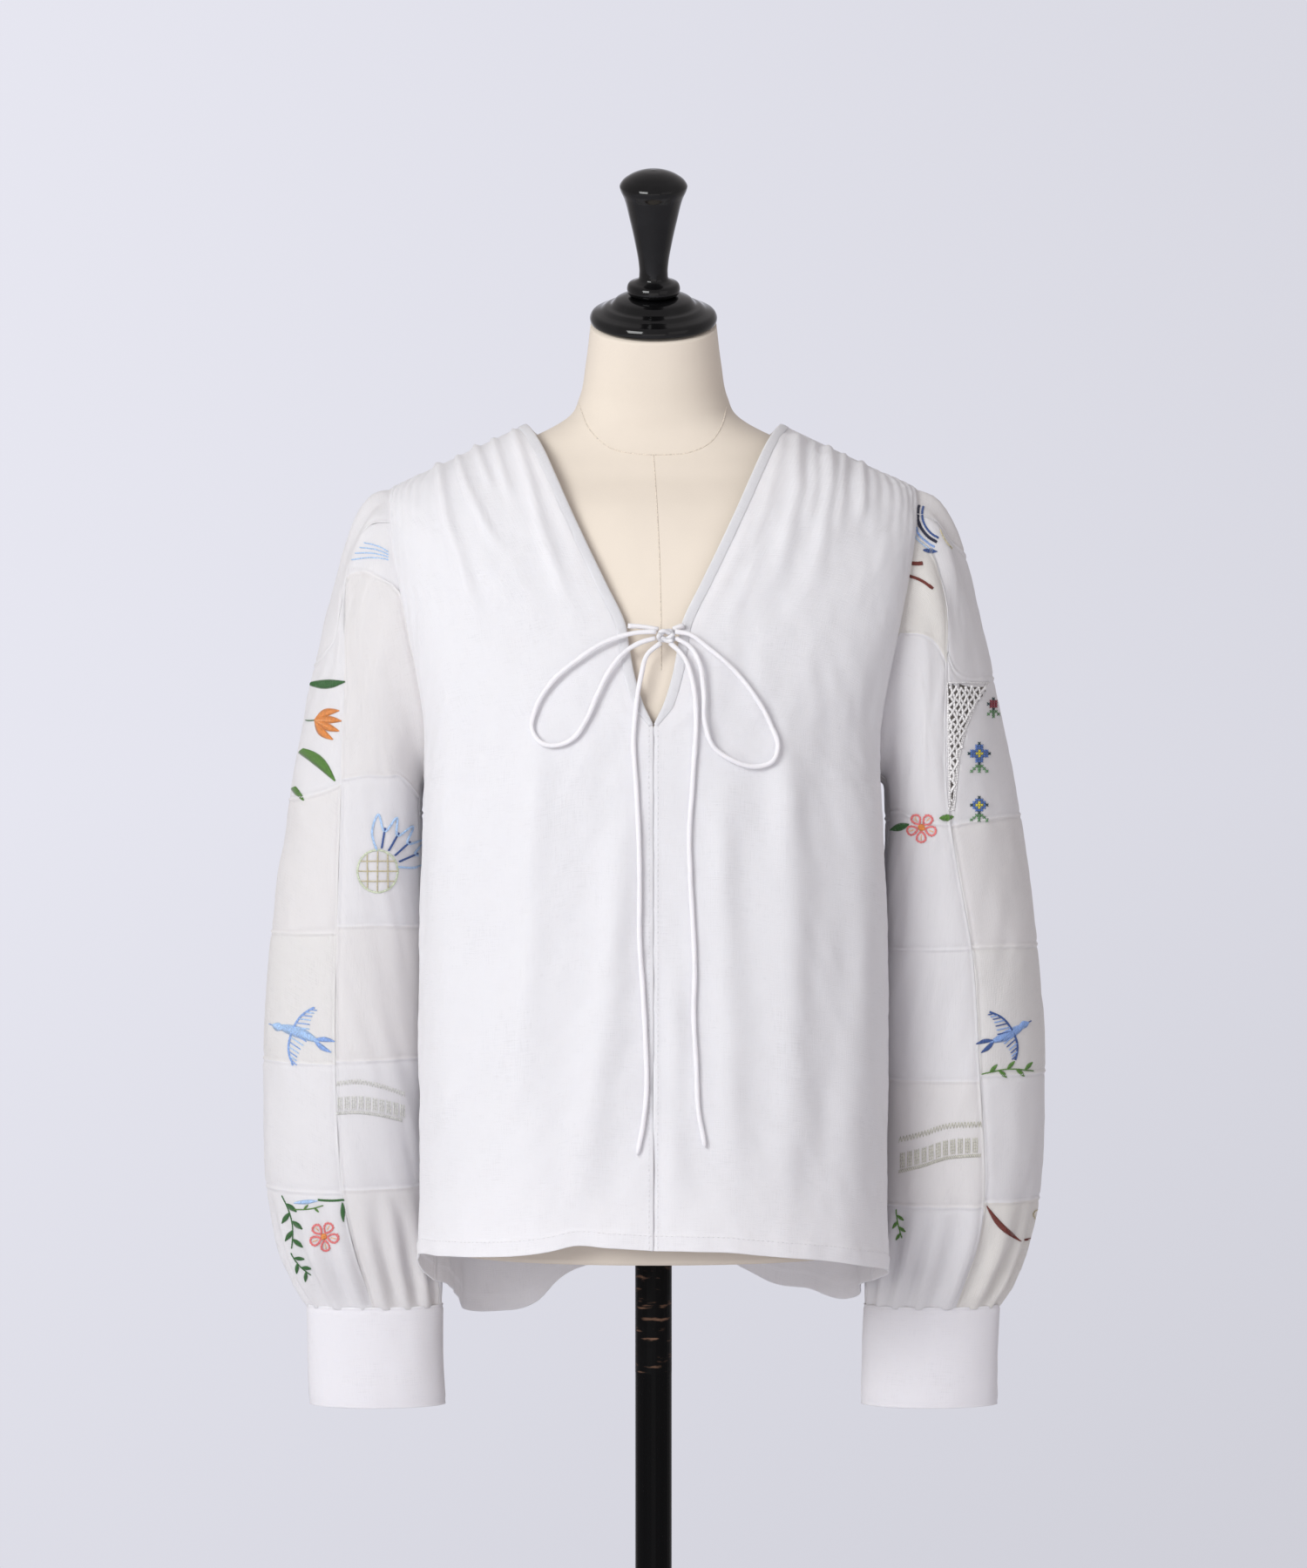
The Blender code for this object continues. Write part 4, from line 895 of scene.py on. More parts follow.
def tube_points(path, radius, sides, twist):
    """Rings of points round a path, with a slight spiral crease."""
    along = unit(np.gradient(path, axis=0))
    across = unit(np.cross(along, (0.0, -1.0, 0.0)))
    out = unit(np.cross(across, along))
    lengths = lengths_along(path)
    turns = np.linspace(0.0, 2 * math.pi, sides + 1)
    spiral = 1.0 + 0.05 * np.cos(2 * turns[None, :] + lengths[:, None] * twist)
    reach = np.broadcast_to(radius, (len(path),))[:, None, None]
    ways = np.cos(turns)[None, :, None] * across[:, None, :] + np.sin(turns)[None, :, None] * out[:, None, :]
    return path[:, None, :] + ways * reach * spiral[..., None], lengths, turns


def add_tie_tube(name, path, radius, sides, twist):
    """A closed length of the tie."""
    points, lengths, turns = tube_points(path, radius, sides, twist)
    u, v = np.meshgrid(turns * TIE_RADIUS, lengths)
    made = add_grid(name, points, [MATERIALS["tie"]], u, v, 1, thickness=0.0, closed=True)
    cap_ends(made)
    return made


def add_ties(cloth):
    """Two loops, two free ends, two roots and the knot of a soft round tie."""
    pieces, paths = {}, {}
    for name, route in TIE_ROUTES.items():
        path = lay_on_front(smooth_route(route, 2.4), cloth)
        smooth = path[:, 1].copy()
        for _ in range(3):
            smooth[1:-1] = (smooth[:-2] + 2 * smooth[1:-1] + smooth[2:]) / 4
        path[:, 1] = smooth
        radius = np.full(len(path), TIE_RADIUS)
        if name.startswith("tie_end"):
            radius[-1], radius[-2] = 0.5, 1.35
        pieces[name] = add_tie_tube(name + "_cloth", path, radius, 14, 0.25)
        paths[name] = path
        take_place(name)
    knot = add_knot(cloth)
    for name in ("tie_loop_left", "tie_loop_right", "tie_end_left", "tie_end_right"):
        path = paths[name]


def cap_ends(tube):
    """Closes the open ends of a tube."""
    edit_mesh(tube.data, lambda work: bmesh.ops.holes_fill(work, edges=[e for e in work.edges if e.is_boundary]))
    tube.data.shade_smooth()


def add_knot(cloth):
    """A wrapped half knot: two turns of the tie drawn tight."""
    centre = lay_on_front([(*KNOT_CENTRE, KNOT_LIFT)], cloth)[0]
    turns = np.linspace(-0.35, 2 * math.pi + 0.35, 40)
    half_width, half_height = KNOT_REACH
    wraps = []
    for tilt, reach, shift in ((0.35, 1.0, (0.0, 0.0, 0.0)), (-0.5, 0.92, (0.6, -0.8, -0.4))):
        over, up = half_width * reach * np.cos(turns), half_height * np.sin(turns)
        x = over * math.cos(tilt) - up * math.sin(tilt)
        z = over * math.sin(tilt) + up * math.cos(tilt)
        path = centre + np.stack([x, 1.4 * np.sin(2 * turns + tilt), z], axis=-1) + shift
        wraps.append(add_tie_tube("tie_wrap", path, TIE_RADIUS, 12, 0.3))
    knot = join(wraps, "tie_knot_cloth")
    take_place("tie_knot")
    return knot


def join(objects, name):
    """One object from several."""
    with bpy.context.temp_override(active_object=objects[0], selected_editable_objects=objects):
        bpy.ops.object.join()
    objects[0].name = objects[0].data.name = name
    return objects[0]


# The cloth


SEWN_LINES = []


def sew_row(points, v, distance, flip):
    """Remembers a line of machine stitches along the row of a grid at a distance from its first row."""
    row = np.abs(v[:, v.shape[1] // 2] - distance).argmin()
    SEWN_LINES.append((points[row], grid_facing(points, flip)[row]))


def sew_column(points, u, distance, flip):
    """The same along the column at a distance from the first."""
    column = np.abs(u[u.shape[0] // 3] - distance).argmin()
    SEWN_LINES.append((points[:, column], grid_facing(points, flip)[:, column]))


def cut_of(points):
    """A sheet's flat cut, measured on its middle surface: widest row and longest column, and the true area."""
    across = np.linalg.norm(np.diff(points, axis=1), axis=2).sum(axis=1).max()
    along = np.linalg.norm(np.diff(points, axis=0), axis=2).sum(axis=0).max()
    diagonals = points[1:, 1:] - points[:-1, :-1], points[1:, :-1] - points[:-1, 1:]
    area = np.linalg.norm(np.cross(*diagonals), axis=-1).sum() / 2
    return np.round([across * MM, along * MM, area * MM * MM], 4).tolist()


def add_fronts():
    """Both fronts. Gives their points, which the tie is laid on."""
    clouds = []
    for side, name in ((-1, "front_left"), (1, "front_right")):
        points, u, v = panel_grid(side, -1)
        made = add_grid(name + "_cloth", points, [MATERIALS["body"]], u, v, side)
        take_place(name)
        sew_row(points, v, HEM_STITCHES, side)
        sew_column(points, u, CENTRE_STITCHES, side)
        clouds.append(points.reshape(-1, 3))
    return np.vstack(clouds)


def add_back():
    halves, cuts = [], []
    for side in (-1, 1):
        points, u, v = panel_grid(side, 1)
        cuts.append(cut_of(points))
        halves.append(add_grid("back_half", points, [MATERIALS["body"]], side * u, v, -side))
        sew_row(points, v, HEM_STITCHES, -side)
    made = join(halves, "back_cloth")
    weld_seam(made.data)
    made.data.shade_smooth()
    take_place("back")


PATCHES = {
    "left": {
        "front_outer": ["white", "white", "soft", "beige", "white", "white"],
        "back_outer": ["white", "cream", "white", "white", "soft", "white"],
        "back_inner": ["soft", "white", "white", "cream", "white", "white"],
        "front_inner": ["white", "soft", "white", "soft", "white", "soft"],
    },
    "right": {
        "front_outer": ["soft", "white", "white", "soft", "beige", "white", "cream"],
        "back_outer": ["white", "white", "cream", "white", "white", "soft", "white"],
        "back_inner": ["white", "soft", "white", "cream", "white", "white"],
        "front_inner": ["cream", "white", "white", "white", "soft", "white"],
    },
}
PATCH_KINDS = ("white", "soft", "cream", "beige")


def add_sleeves():
    """Four columns of patches round each arm, by sleeve and column."""
    sleeves = {}
    for side, name in ((-1, "left"), (1, "right")):
        seam = FRONT_SEAM[name]

        def front(ring, seam=seam):
            return seam.read("turn", ring)

        def fixed(angle):
            return lambda ring: np.full_like(np.asarray(ring, float), angle)

        strips = {
            "front_outer": (front, fixed(TOP_SEAM)),
            "back_outer": (fixed(TOP_SEAM), fixed(BACK_SEAM)),
            "back_inner": (fixed(BACK_SEAM), fixed(INNER_SEAM)),
            "front_inner": (fixed(INNER_SEAM - 360.0), front),
        }
        for strip, (first, last) in strips.items():
            points, u, v, starts = strip_grid(side, strip, first, last)
            rows, columns = np.array(points.shape[:2]) - 1
            patch = np.searchsorted(np.array(starts) - 1, np.arange(rows), side="right") - 1
            kinds = np.array([PATCH_KINDS.index(kind) for kind in PATCHES[name][strip]])
            face_kind = np.repeat(kinds[np.clip(patch, 0, len(kinds) - 1)], columns)
            cloths = [MATERIALS[kind] for kind in PATCH_KINDS]
            made = add_grid(f"sleeve_{name}_{strip}_cloth", points, cloths, u, v, side, face_kind)
            take_place(f"sleeve_{name}_{strip}")
            sleeves[name, strip] = made
    return sleeves


def add_cuffs():
    for side, name in ((-1, "cuff_left"), (1, "cuff_right")):
        drops = np.concatenate([[0.0, 0.012, 0.03, 0.05], np.linspace(0.08, 0.92, 22), [0.95, 0.97, 0.988, 1.0]])
        turns, drop = np.meshgrid(np.linspace(0.0, 2 * math.pi, 97), drops)
        x = CUFF.read("centre_x", drop) + CUFF.read("half_width", drop) * np.cos(turns)
        y = CUFF.read("centre_y", drop) + CUFF.read("half_depth", drop) * np.sin(turns)
        z = CUFF_TOP + CUFF_LAP * (1.0 - drop) + (CUFF_BOTTOM - CUFF_TOP) * drop
        base = np.stack([side * x, y, z], axis=-1)
        facing_out = grid_facing(base, side)
        u, v = run_lengths(base)
        height = 0.7 * np.sin(3 * turns + side) * np.sin(math.pi * drop) + 0.35 * ripples(u, v * 0.5, 11.0, 40 + side)
        height += 0.5 * bell(drop, 0.97, 0.03) - 0.4 * bell(drop, 0.06, 0.012) + 0.5 * bell(drop, 0.03, 0.02)
        height[:, -1] = height[:, 0]
        points = base + facing_out * height[..., None]
        made = add_grid(
            name + "_cloth", points, [MATERIALS["cuff"]], u, v, side, thickness=CUFF_WALL, closed=True
        )
        take_place(name)
        for distance in CUFF_STITCHES:
            sew_row(base + facing_out * (height + 0.55)[..., None], v, distance, side)


# The binding: its width on the neck and at the slit's foot, the width of its cut in metres, and its section, as each
# point's reach in from the edge in widths and its lift off the cloth
BINDING_WIDTH, BINDING_FOOT, BINDING_CUT = 6.0, 2.2, 0.012
BINDING_SECTION = [
    (0.10, -1.2), (-0.04, -0.9), (-0.10, -0.2), (-0.06, 0.6), (0.06, 1.0), (0.3, 1.15), (0.6, 1.12), (0.85, 1.05),
    (0.97, 0.8), (1.0, 0.5),
]


def binding_grid(sections, foot_width):
    """A narrow strip folded over the neck's edge, from grids of the panels' inner columns."""
    edge, inner, out = (np.vstack(part) for part in zip(*sections))
    keep = np.concatenate([[True], np.linalg.norm(np.diff(edge, axis=0), axis=1) > 0.4])
    edge, inner, out = edge[keep], inner[keep], unit(out[keep])
    along = unit(np.gradient(edge, axis=0))
    inward = unit(inner - edge - along * ((inner - edge) * along).sum(-1, keepdims=True))
    width = np.interp(lengths_along(edge), [0.0, 16.0], [foot_width, BINDING_WIDTH])[:, None]
    grid = np.stack([edge + inward * width * reach + out * lift for reach, lift in BINDING_SECTION], axis=1)
    u, v = run_lengths(grid)
    pucker = 0.16 * ripples(v, u, 3.0, 31)
    return grid + out[:, None, :] * pucker[..., None], u, v


def panel_sections(side, facing, low, high):
    """Edge points, points a little inside them and outward directions along a panel's inner edge."""
    shares = np.linspace(low, high, max(4, round(abs(high - low) * PANEL_EDGE / 2.0)))
    across, share = np.meshgrid(np.array([0.0, 0.012, 0.024, 0.036]), shares)
    base = panel_point(side, facing, across, share)
    facing_out = grid_facing(base, side * -facing)
    height = panel_fold(side, facing, across, share)
    base = base + facing_out * height[..., None]
    return base[:, 0], base[:, 3], facing_out[:, 1]


def add_bindings():
    left_back = panel_sections(-1, 1, BINDING_END, BACK_NECK)
    right_back = panel_sections(1, 1, BACK_NECK, BINDING_END)
    for name, carrier, sections in (
        ("neck_binding_left", "front_left", [panel_sections(-1, -1, BINDING_START, BINDING_END)]),
        ("neck_binding_right", "front_right", [panel_sections(1, -1, BINDING_START, BINDING_END)]),
        ("neck_binding_back", "back", [left_back, right_back]),
    ):
        points, u, v = binding_grid(sections, BINDING_WIDTH if carrier == "back" else BINDING_FOOT)
        middle = len(points) // 2
        out = np.cross(points[middle, 4] - points[middle, 5], points[middle + 1, 5] - points[middle, 5])
        outward = sections[0][2][len(sections[0][2]) // 2]
        flip = -1 if out @ outward < 0 else 1
        made = add_grid(name + "_cloth", points, [MATERIALS["binding"]], u, v, -flip, thickness=BINDING_WALL)
        take_place(name)


# Embroidery. Each stroke is a thread colour, a kind of stitch, a width in pixels and its line: "stem" follows one
# line and "satin" fills between two edges. The motifs are ordinary leaves, blossoms, birds and a thistle, each drawn
# by a function from a place, an angle and a few sizes. Places and sizes are in pixels, angles in degrees, y down.


def aim(angle):
    return np.array([math.cos(math.radians(angle)), math.sin(math.radians(angle))])


def bowed(base, angle, length, bow=0.0, count=9):
    """A line from base that bows to one side by a share of its length."""
    part = np.linspace(0.0, 1.0, count)[:, None]
    return np.array(base, float) + length * (part * aim(angle) + bow * np.sin(np.pi * part) * aim(angle + 90))


def line(colour, width, base, angle, length, bow=0.0):
    return (colour, "stem", width, bowed(base, angle, length, bow))


def leaf(colour, base, angle, length, width, bow=0.0):
    middle = bowed(base, angle, length, bow)
    half = width / 2 * np.sin(np.linspace(0.15, 2.99, len(middle)))[:, None] * aim(angle + 90)
    return (colour, "satin", 1, middle + half, middle - half)


def ring(colour, width, centre, radius, start=0.0, end=360.0, tall=1.0, count=13):
    turns = np.radians(np.linspace(start, end, count))
    return (colour, "stem", width, np.array(centre) + radius * np.stack([np.cos(turns), tall * np.sin(turns)], axis=-1))


def sprig(colour, base, angle, length, bow, leaves, size=9.0):
    """A bowed stalk with leaves on both sides in turn."""
    stalk = bowed(base, angle, length, bow, leaves + 2)
    made = [(colour, "stem", 1.4, stalk)]
    for number, place in enumerate(stalk[1:-1]):
        made.append(leaf(colour, place, angle + (44 if number % 2 else -44), size, size * 0.4))
    return made


def blossom(centre, radius, petals, start, edge="pink", heart="orange", blush="pale_orange"):
    """Outlined petals round a filled heart."""
    centre, made = np.array(centre, float), []
    for number in range(petals):
        angle = start + 360.0 * number / petals
        base, wide = centre + 0.25 * radius * aim(angle), 0.3 * radius
        near, far = base + 0.25 * radius * aim(angle), base + 0.6 * radius * aim(angle)
        side = wide * aim(angle + 90)
        tip = centre + radius * aim(angle)
        petal = [base, near + side * 0.8, far + side, tip, far - side, near - side * 0.8, base]
        made.append((edge, "stem", 1.7, np.array(petal)))
        made.append(line(blush, 1.3, near, angle, 0.35 * radius))
    made.append(leaf(heart, centre - 0.25 * radius * aim(start), start, 0.5 * radius, 0.5 * radius))
    return made


def tulip(colour, blush, base, angle, size):
    """Pointed petals that open from one base."""
    made = [leaf(colour, base, angle + turn, size, size * 0.3, turn / 300.0) for turn in (-34, -11, 12, 35)]
    return [*made, line(blush, 1.2, base, angle - 11, size * 0.7), line(blush, 1.2, base, angle + 15, size * 0.7)]


def thistle(centre, radius, angle):
    """A latticed globe under a crown of pointed blades."""
    centre = np.array(centre, float)
    made = [ring("pale_green", 1.8, centre, radius, tall=1.06)]
    for share in (-0.5, 0.0, 0.5):
        reach = radius * math.sqrt(1.0 - share**2)
        made.append(line("olive", 1.3, centre + (-reach, share * radius), 0.0, 2 * reach))
        made.append(line("olive", 1.3, centre + (share * radius, -reach), 90.0, 2 * reach))
    turns = np.linspace(-46.0, 46.0, 11)
    crown = [centre + radius * (2.85 if number % 2 else 2.0) * aim(angle + turn) for number, turn in enumerate(turns)]
    crown = [centre + radius * aim(angle - 40), *crown, centre + radius * aim(angle + 40)]
    made.append(("light_blue", "stem", 1.7, np.array(crown)))
    for turn in (-28, -9.5, 9.5, 28):
        made.append(line("dark_blue", 2.4, centre + 1.15 * radius * aim(angle + turn), angle + turn, 1.05 * radius))
    return made


def bird(centre, size, heading, light="light_blue", dark="sky"):
    """A flying bird: body, head, beak, two swept wings with quills that trail behind them, and a forked tail."""
    centre, ahead = np.array(centre, float), aim(heading)
    made = []
    for side in (-1, 1):
        sweep = heading + side * 112
        wing = bowed(centre + 0.1 * size * ahead, sweep, 0.58 * size, -0.12 * side, 8)
        for number, root in enumerate(wing[:-1]):
            quill = (0.3 - 0.03 * number) * size
            made.append(line(light if number % 2 else dark, 1.2, root, heading + 180 - 14 * side, quill))
        made.append((dark, "stem", 2.2, wing))
        rump, fork = centre - 0.3 * size * ahead, heading + 180 + side * 16
        made.append(leaf(dark, rump, fork, 0.36 * size, 0.09 * size, 0.06 * side))
    made.append(leaf(light, centre - 0.4 * size * ahead, heading, 0.82 * size, 0.2 * size, 0.04))
    made.append(leaf(light, centre + 0.26 * size * ahead, heading, 0.2 * size, 0.15 * size))
    made.append(line(dark, 1.2, centre + 0.44 * size * ahead, heading, 0.08 * size))
    return made


def cross_flower(reach, petal, rim, heart="Y"):
    """Cross-stitch rows of a flower with four blunt petals, a round heart and two leaves, built by rule."""
    rows = []
    for down in range(-reach, reach + 4):
        row = ""
        for over in range(-reach, reach + 1):
            far, near = max(abs(over), abs(down)), min(abs(over), abs(down))
            if far <= reach and far + near <= 1:
                row += heart
            elif far <= reach and near <= 1 and far < reach:
                row += petal
            elif far <= reach and near == 0:
                row += rim
            elif down > reach and (over == 0 or abs(over) == down - reach):
                row += "G"
            else:
                row += "."
        rows.append(row)
    return rows


LEAF_AND_TULIP = [
    leaf("dark_green", (353, 785), -3, 43, 11, 0.04), line("dark_green", 1.2, (344, 826), 2, 20, 0.05),
    leaf("leaf_green", (336, 858), 38, 62, 13, -0.10), leaf("leaf_green", (332, 898), 50, 27, 7),
    *tulip("orange", "pale_orange", (362, 827), 12, 30),
]
HEAD_FEATHERS = [
    line("light_blue", 1.6, (446, 643 - 3 * turn), 180 + 7 * turn, 42 - 4 * turn, 0.06) for turn in range(4)
]
THISTLE = thistle((433, 1000), 23, -52)
SWALLOW = bird((342, 1187), 66, 200)
ROSE_CORNER = [
    *sprig("dark_green", (324, 1372), 80, 62, -0.10, 5, 15.0), *sprig("leaf_green", (338, 1388), -8, 34, 0.06, 2, 7.0),
    *sprig("dark_green", (334, 1438), 48, 34, 0.08, 4, 12.0), leaf("light_blue", (338, 1381), -6, 27, 5),
    line("dark_green", 1.9, (365, 1377), 0, 30, 0.04), leaf("dark_green", (393, 1380), 88, 22, 6),
    *blossom((372, 1419), 17, 5, -62),
]
BLUE_FAN = [
    *(ring(colour, width, (1088, 590), radius, 112, 196, count=7) for colour, width, radius in (
        ("dark_blue", 1.8, 30), ("navy", 3.2, 35), ("sky", 2.2, 41), ("light_blue", 1.6, 46),
    )),
    leaf("dark_blue", (1059, 632), 4, 16, 6), line("olive", 1.4, (1078, 608), 58, 26, 0.06),
]
BROWN_STROKES = [line("red_brown", 4.0, (1046, 647), 0, 13, 0.04), line("red_brown", 3.2, (1042, 661), 28, 32, -0.07)]
PINK_FLOWER = [
    leaf("dark_green", (1044, 946), 162, 22, 9), leaf("leaf_green", (1078, 939), -6, 16, 8, 0.04),
    *blossom((1058, 950), 17, 5, 20),
]
RIGHT_SWALLOW = [
    *bird((1156, 1186), 58, -28, "sky", "dark_blue"), *sprig("leaf_green", (1126, 1234), -4, 60, -0.08, 5, 12.0),
]
BROWN_CURVE = [
    leaf("red_brown", (1132, 1384), 46, 56, 7, 0.07), line("red_brown", 2.4, (1171, 1424), -26, 26, 0.10),
    ring("olive", 1.3, (1191, 1394), 6), *sprig("leaf_green", (1029, 1388), 78, 34, 0.05, 4, 10.0),
]

# Cross-stitch: the size of a cell, the letters' thread colours, and each flower's first cell
CROSS_CELL = 2.9
CROSS_COLOURS = {"T": "teal", "G": "cross_green", "Y": "yellow", "B": "cross_blue", "R": "red"}
CROSS_FLOWERS = [
    ((1110, 852), cross_flower(4, "B", "T")), ((1113, 914), cross_flower(3, "B", "T")),
    ((1132, 801), cross_flower(2, "R", "T", "R")),
]

# Bands of drawn-thread work: the line of each band's top, its height and the pitch of its bars in pixels, its kind
THREAD_BANDS = [
    ([(386, 1241), (414, 1239), (440, 1245), (464, 1253)], 6, 3.2, "zigzag"),
    ([(386, 1259), (414, 1258), (440, 1262), (464, 1268)], 21, 8.0, "ladder"),
    ([(1032, 1305), (1060, 1298), (1084, 1290), (1127, 1287)], 7, 3.6, "zigzag"),
    ([(1032, 1324), (1060, 1317), (1084, 1309), (1127, 1305)], 23, 8.5, "ladder"),
]

# Pictures on the sides that the photo hides: strokes, the picture's own middle, where it goes and which way it faces
HIDDEN_PICTURES = {
    "left": [
        (LEAF_AND_TULIP, (364, 850), (196.0, 14.0, 1137.0), (0.7, 0.71)),
        (THISTLE, (446, 972), (212.0, 27.0, 955.0), (0.7, 0.71)),
        (PINK_FLOWER, (1058, 948), (180.0, 24.0, 1030.0), (0.0, 1.0)),
        (BROWN_CURVE[:2], (1160, 1405), (208.0, 33.0, 782.0), (0.7, 0.71)),
    ],
    "right": [
        (RIGHT_SWALLOW, (1157, 1195), (200.0, 14.0, 1126.0), (0.7, 0.71)),
        (ROSE_CORNER, (356, 1420), (212.0, 27.0, 955.0), (0.7, 0.71)),
        (LEAF_AND_TULIP[4:], (364, 850), (184.0, 30.0, 862.0), (0.0, 1.0)),
    ],
}

# The seams of the form's cover that show in the neck, as lines of the picture
FORM_SEAMS = [
    [(750, 522), (755, 600), (758, 680), (759, 770)],
    [(664, 462), (676, 492), (700, 514), (732, 521), (761, 522), (792, 519), (815, 508), (829, 487), (834, 466)],
]

# The crochet corner: its outline, the row where the opening in the cloth starts, the net's first knot and its pitch,
# all in pixels, and the radius of its thread
LACE_TOP, LACE_START, LACE_PITCH, LACE_THREAD = 788, (1086.0, 784.0), (6.4, 5.6), 0.95
LACE_CORNER = [(1087, 784), (1133, 784), (1119, 806), (1107, 836), (1099, 872), (1094, 930), (1090, 930)]

THREADS = {
    "dark_green": (0.030, 0.135, 0.028),
    "leaf_green": (0.095, 0.235, 0.035),
    "cross_green": (0.114, 0.262, 0.114),
    "teal": (0.0097, 0.045, 0.053),
    "orange": (0.74, 0.27, 0.06),
    "pale_orange": (0.85, 0.52, 0.30),
    "pink": (0.76, 0.20, 0.20),
    "red": (0.28, 0.02, 0.045),
    "red_brown": (0.17, 0.026, 0.016),
    "light_blue": (0.44, 0.62, 0.88),
    "sky": (0.27, 0.42, 0.76),
    "cross_blue": (0.08, 0.171, 0.456),
    "dark_blue": (0.045, 0.10, 0.30),
    "navy": (0.012, 0.014, 0.045),
    "yellow": (0.68, 0.60, 0.07),
    "olive": (0.56, 0.50, 0.32),
    "pale_green": (0.60, 0.65, 0.50),
    "grey_green": (0.58, 0.57, 0.48),
    "pale_grey": (0.70, 0.70, 0.66),
    "lace": (0.84, 0.83, 0.83),
    "sewing": (0.76, 0.75, 0.78),
    "form_seam": (0.75, 0.67, 0.57),
}


class Canvas:
    """Lays points of the picture on cloth, along the camera's rays, or along level rays from another side."""

    def __init__(self, tree, origin=None, centre=None, facing=None):
        self.tree, self.origin, self.centre, self.facing = tree, origin, centre, facing

    def ray(self, place):
        if self.facing is None:
            column, row = np.asarray(place, float) - PICTURE_CENTRE
            target = np.array([column * PIXEL, 0.0, CAMERA[2] - row * PIXEL])
            return CAMERA, unit(target - CAMERA)
        column, row = (np.asarray(place, float) - self.origin) * PIXEL
        across = np.cross((0.0, 0.0, 1.0), self.facing)
        start = np.asarray(self.centre) + column * across + (0.0, 0.0, -row) + np.asarray(self.facing) * 300.0
        return start, -np.asarray(self.facing, float)

    def hit(self, place):
        """The point of the cloth and its outward direction, or None beside the cloth."""
        start, way = self.ray(place)
        point, normal, _, _ = self.tree.ray_cast(Vector(start * MM), Vector(way))
        if point is None:
            return None
        normal = np.array(normal)
        normal = normal if normal @ way < 0 else -normal
        return np.array(point) / MM + normal * CLOTH_WALL / 2, normal


def route_points(route, step):
    """Points about step apart along a smooth line of picture places."""
    route = np.array(route, float)
    if len(route) == 2:
        count = max(2, round(np.linalg.norm(route[1] - route[0]) / step) + 1)
        return route[0] + (route[1] - route[0]) * np.linspace(0.0, 1.0, count)[:, None]
    return smooth_route(route, step)


# Machine stitches: length, gap and radius. A stitch whose points lie further apart than LONGEST_STEP spans a gap in
# the cloth and is left out
MACHINE_STITCH, MACHINE_GAP, MACHINE_RADIUS = 2.3, 1.1, 0.2
LONGEST_STEP = 9.0
LADDER_BARS = (0.0, 2.3, 4.6)


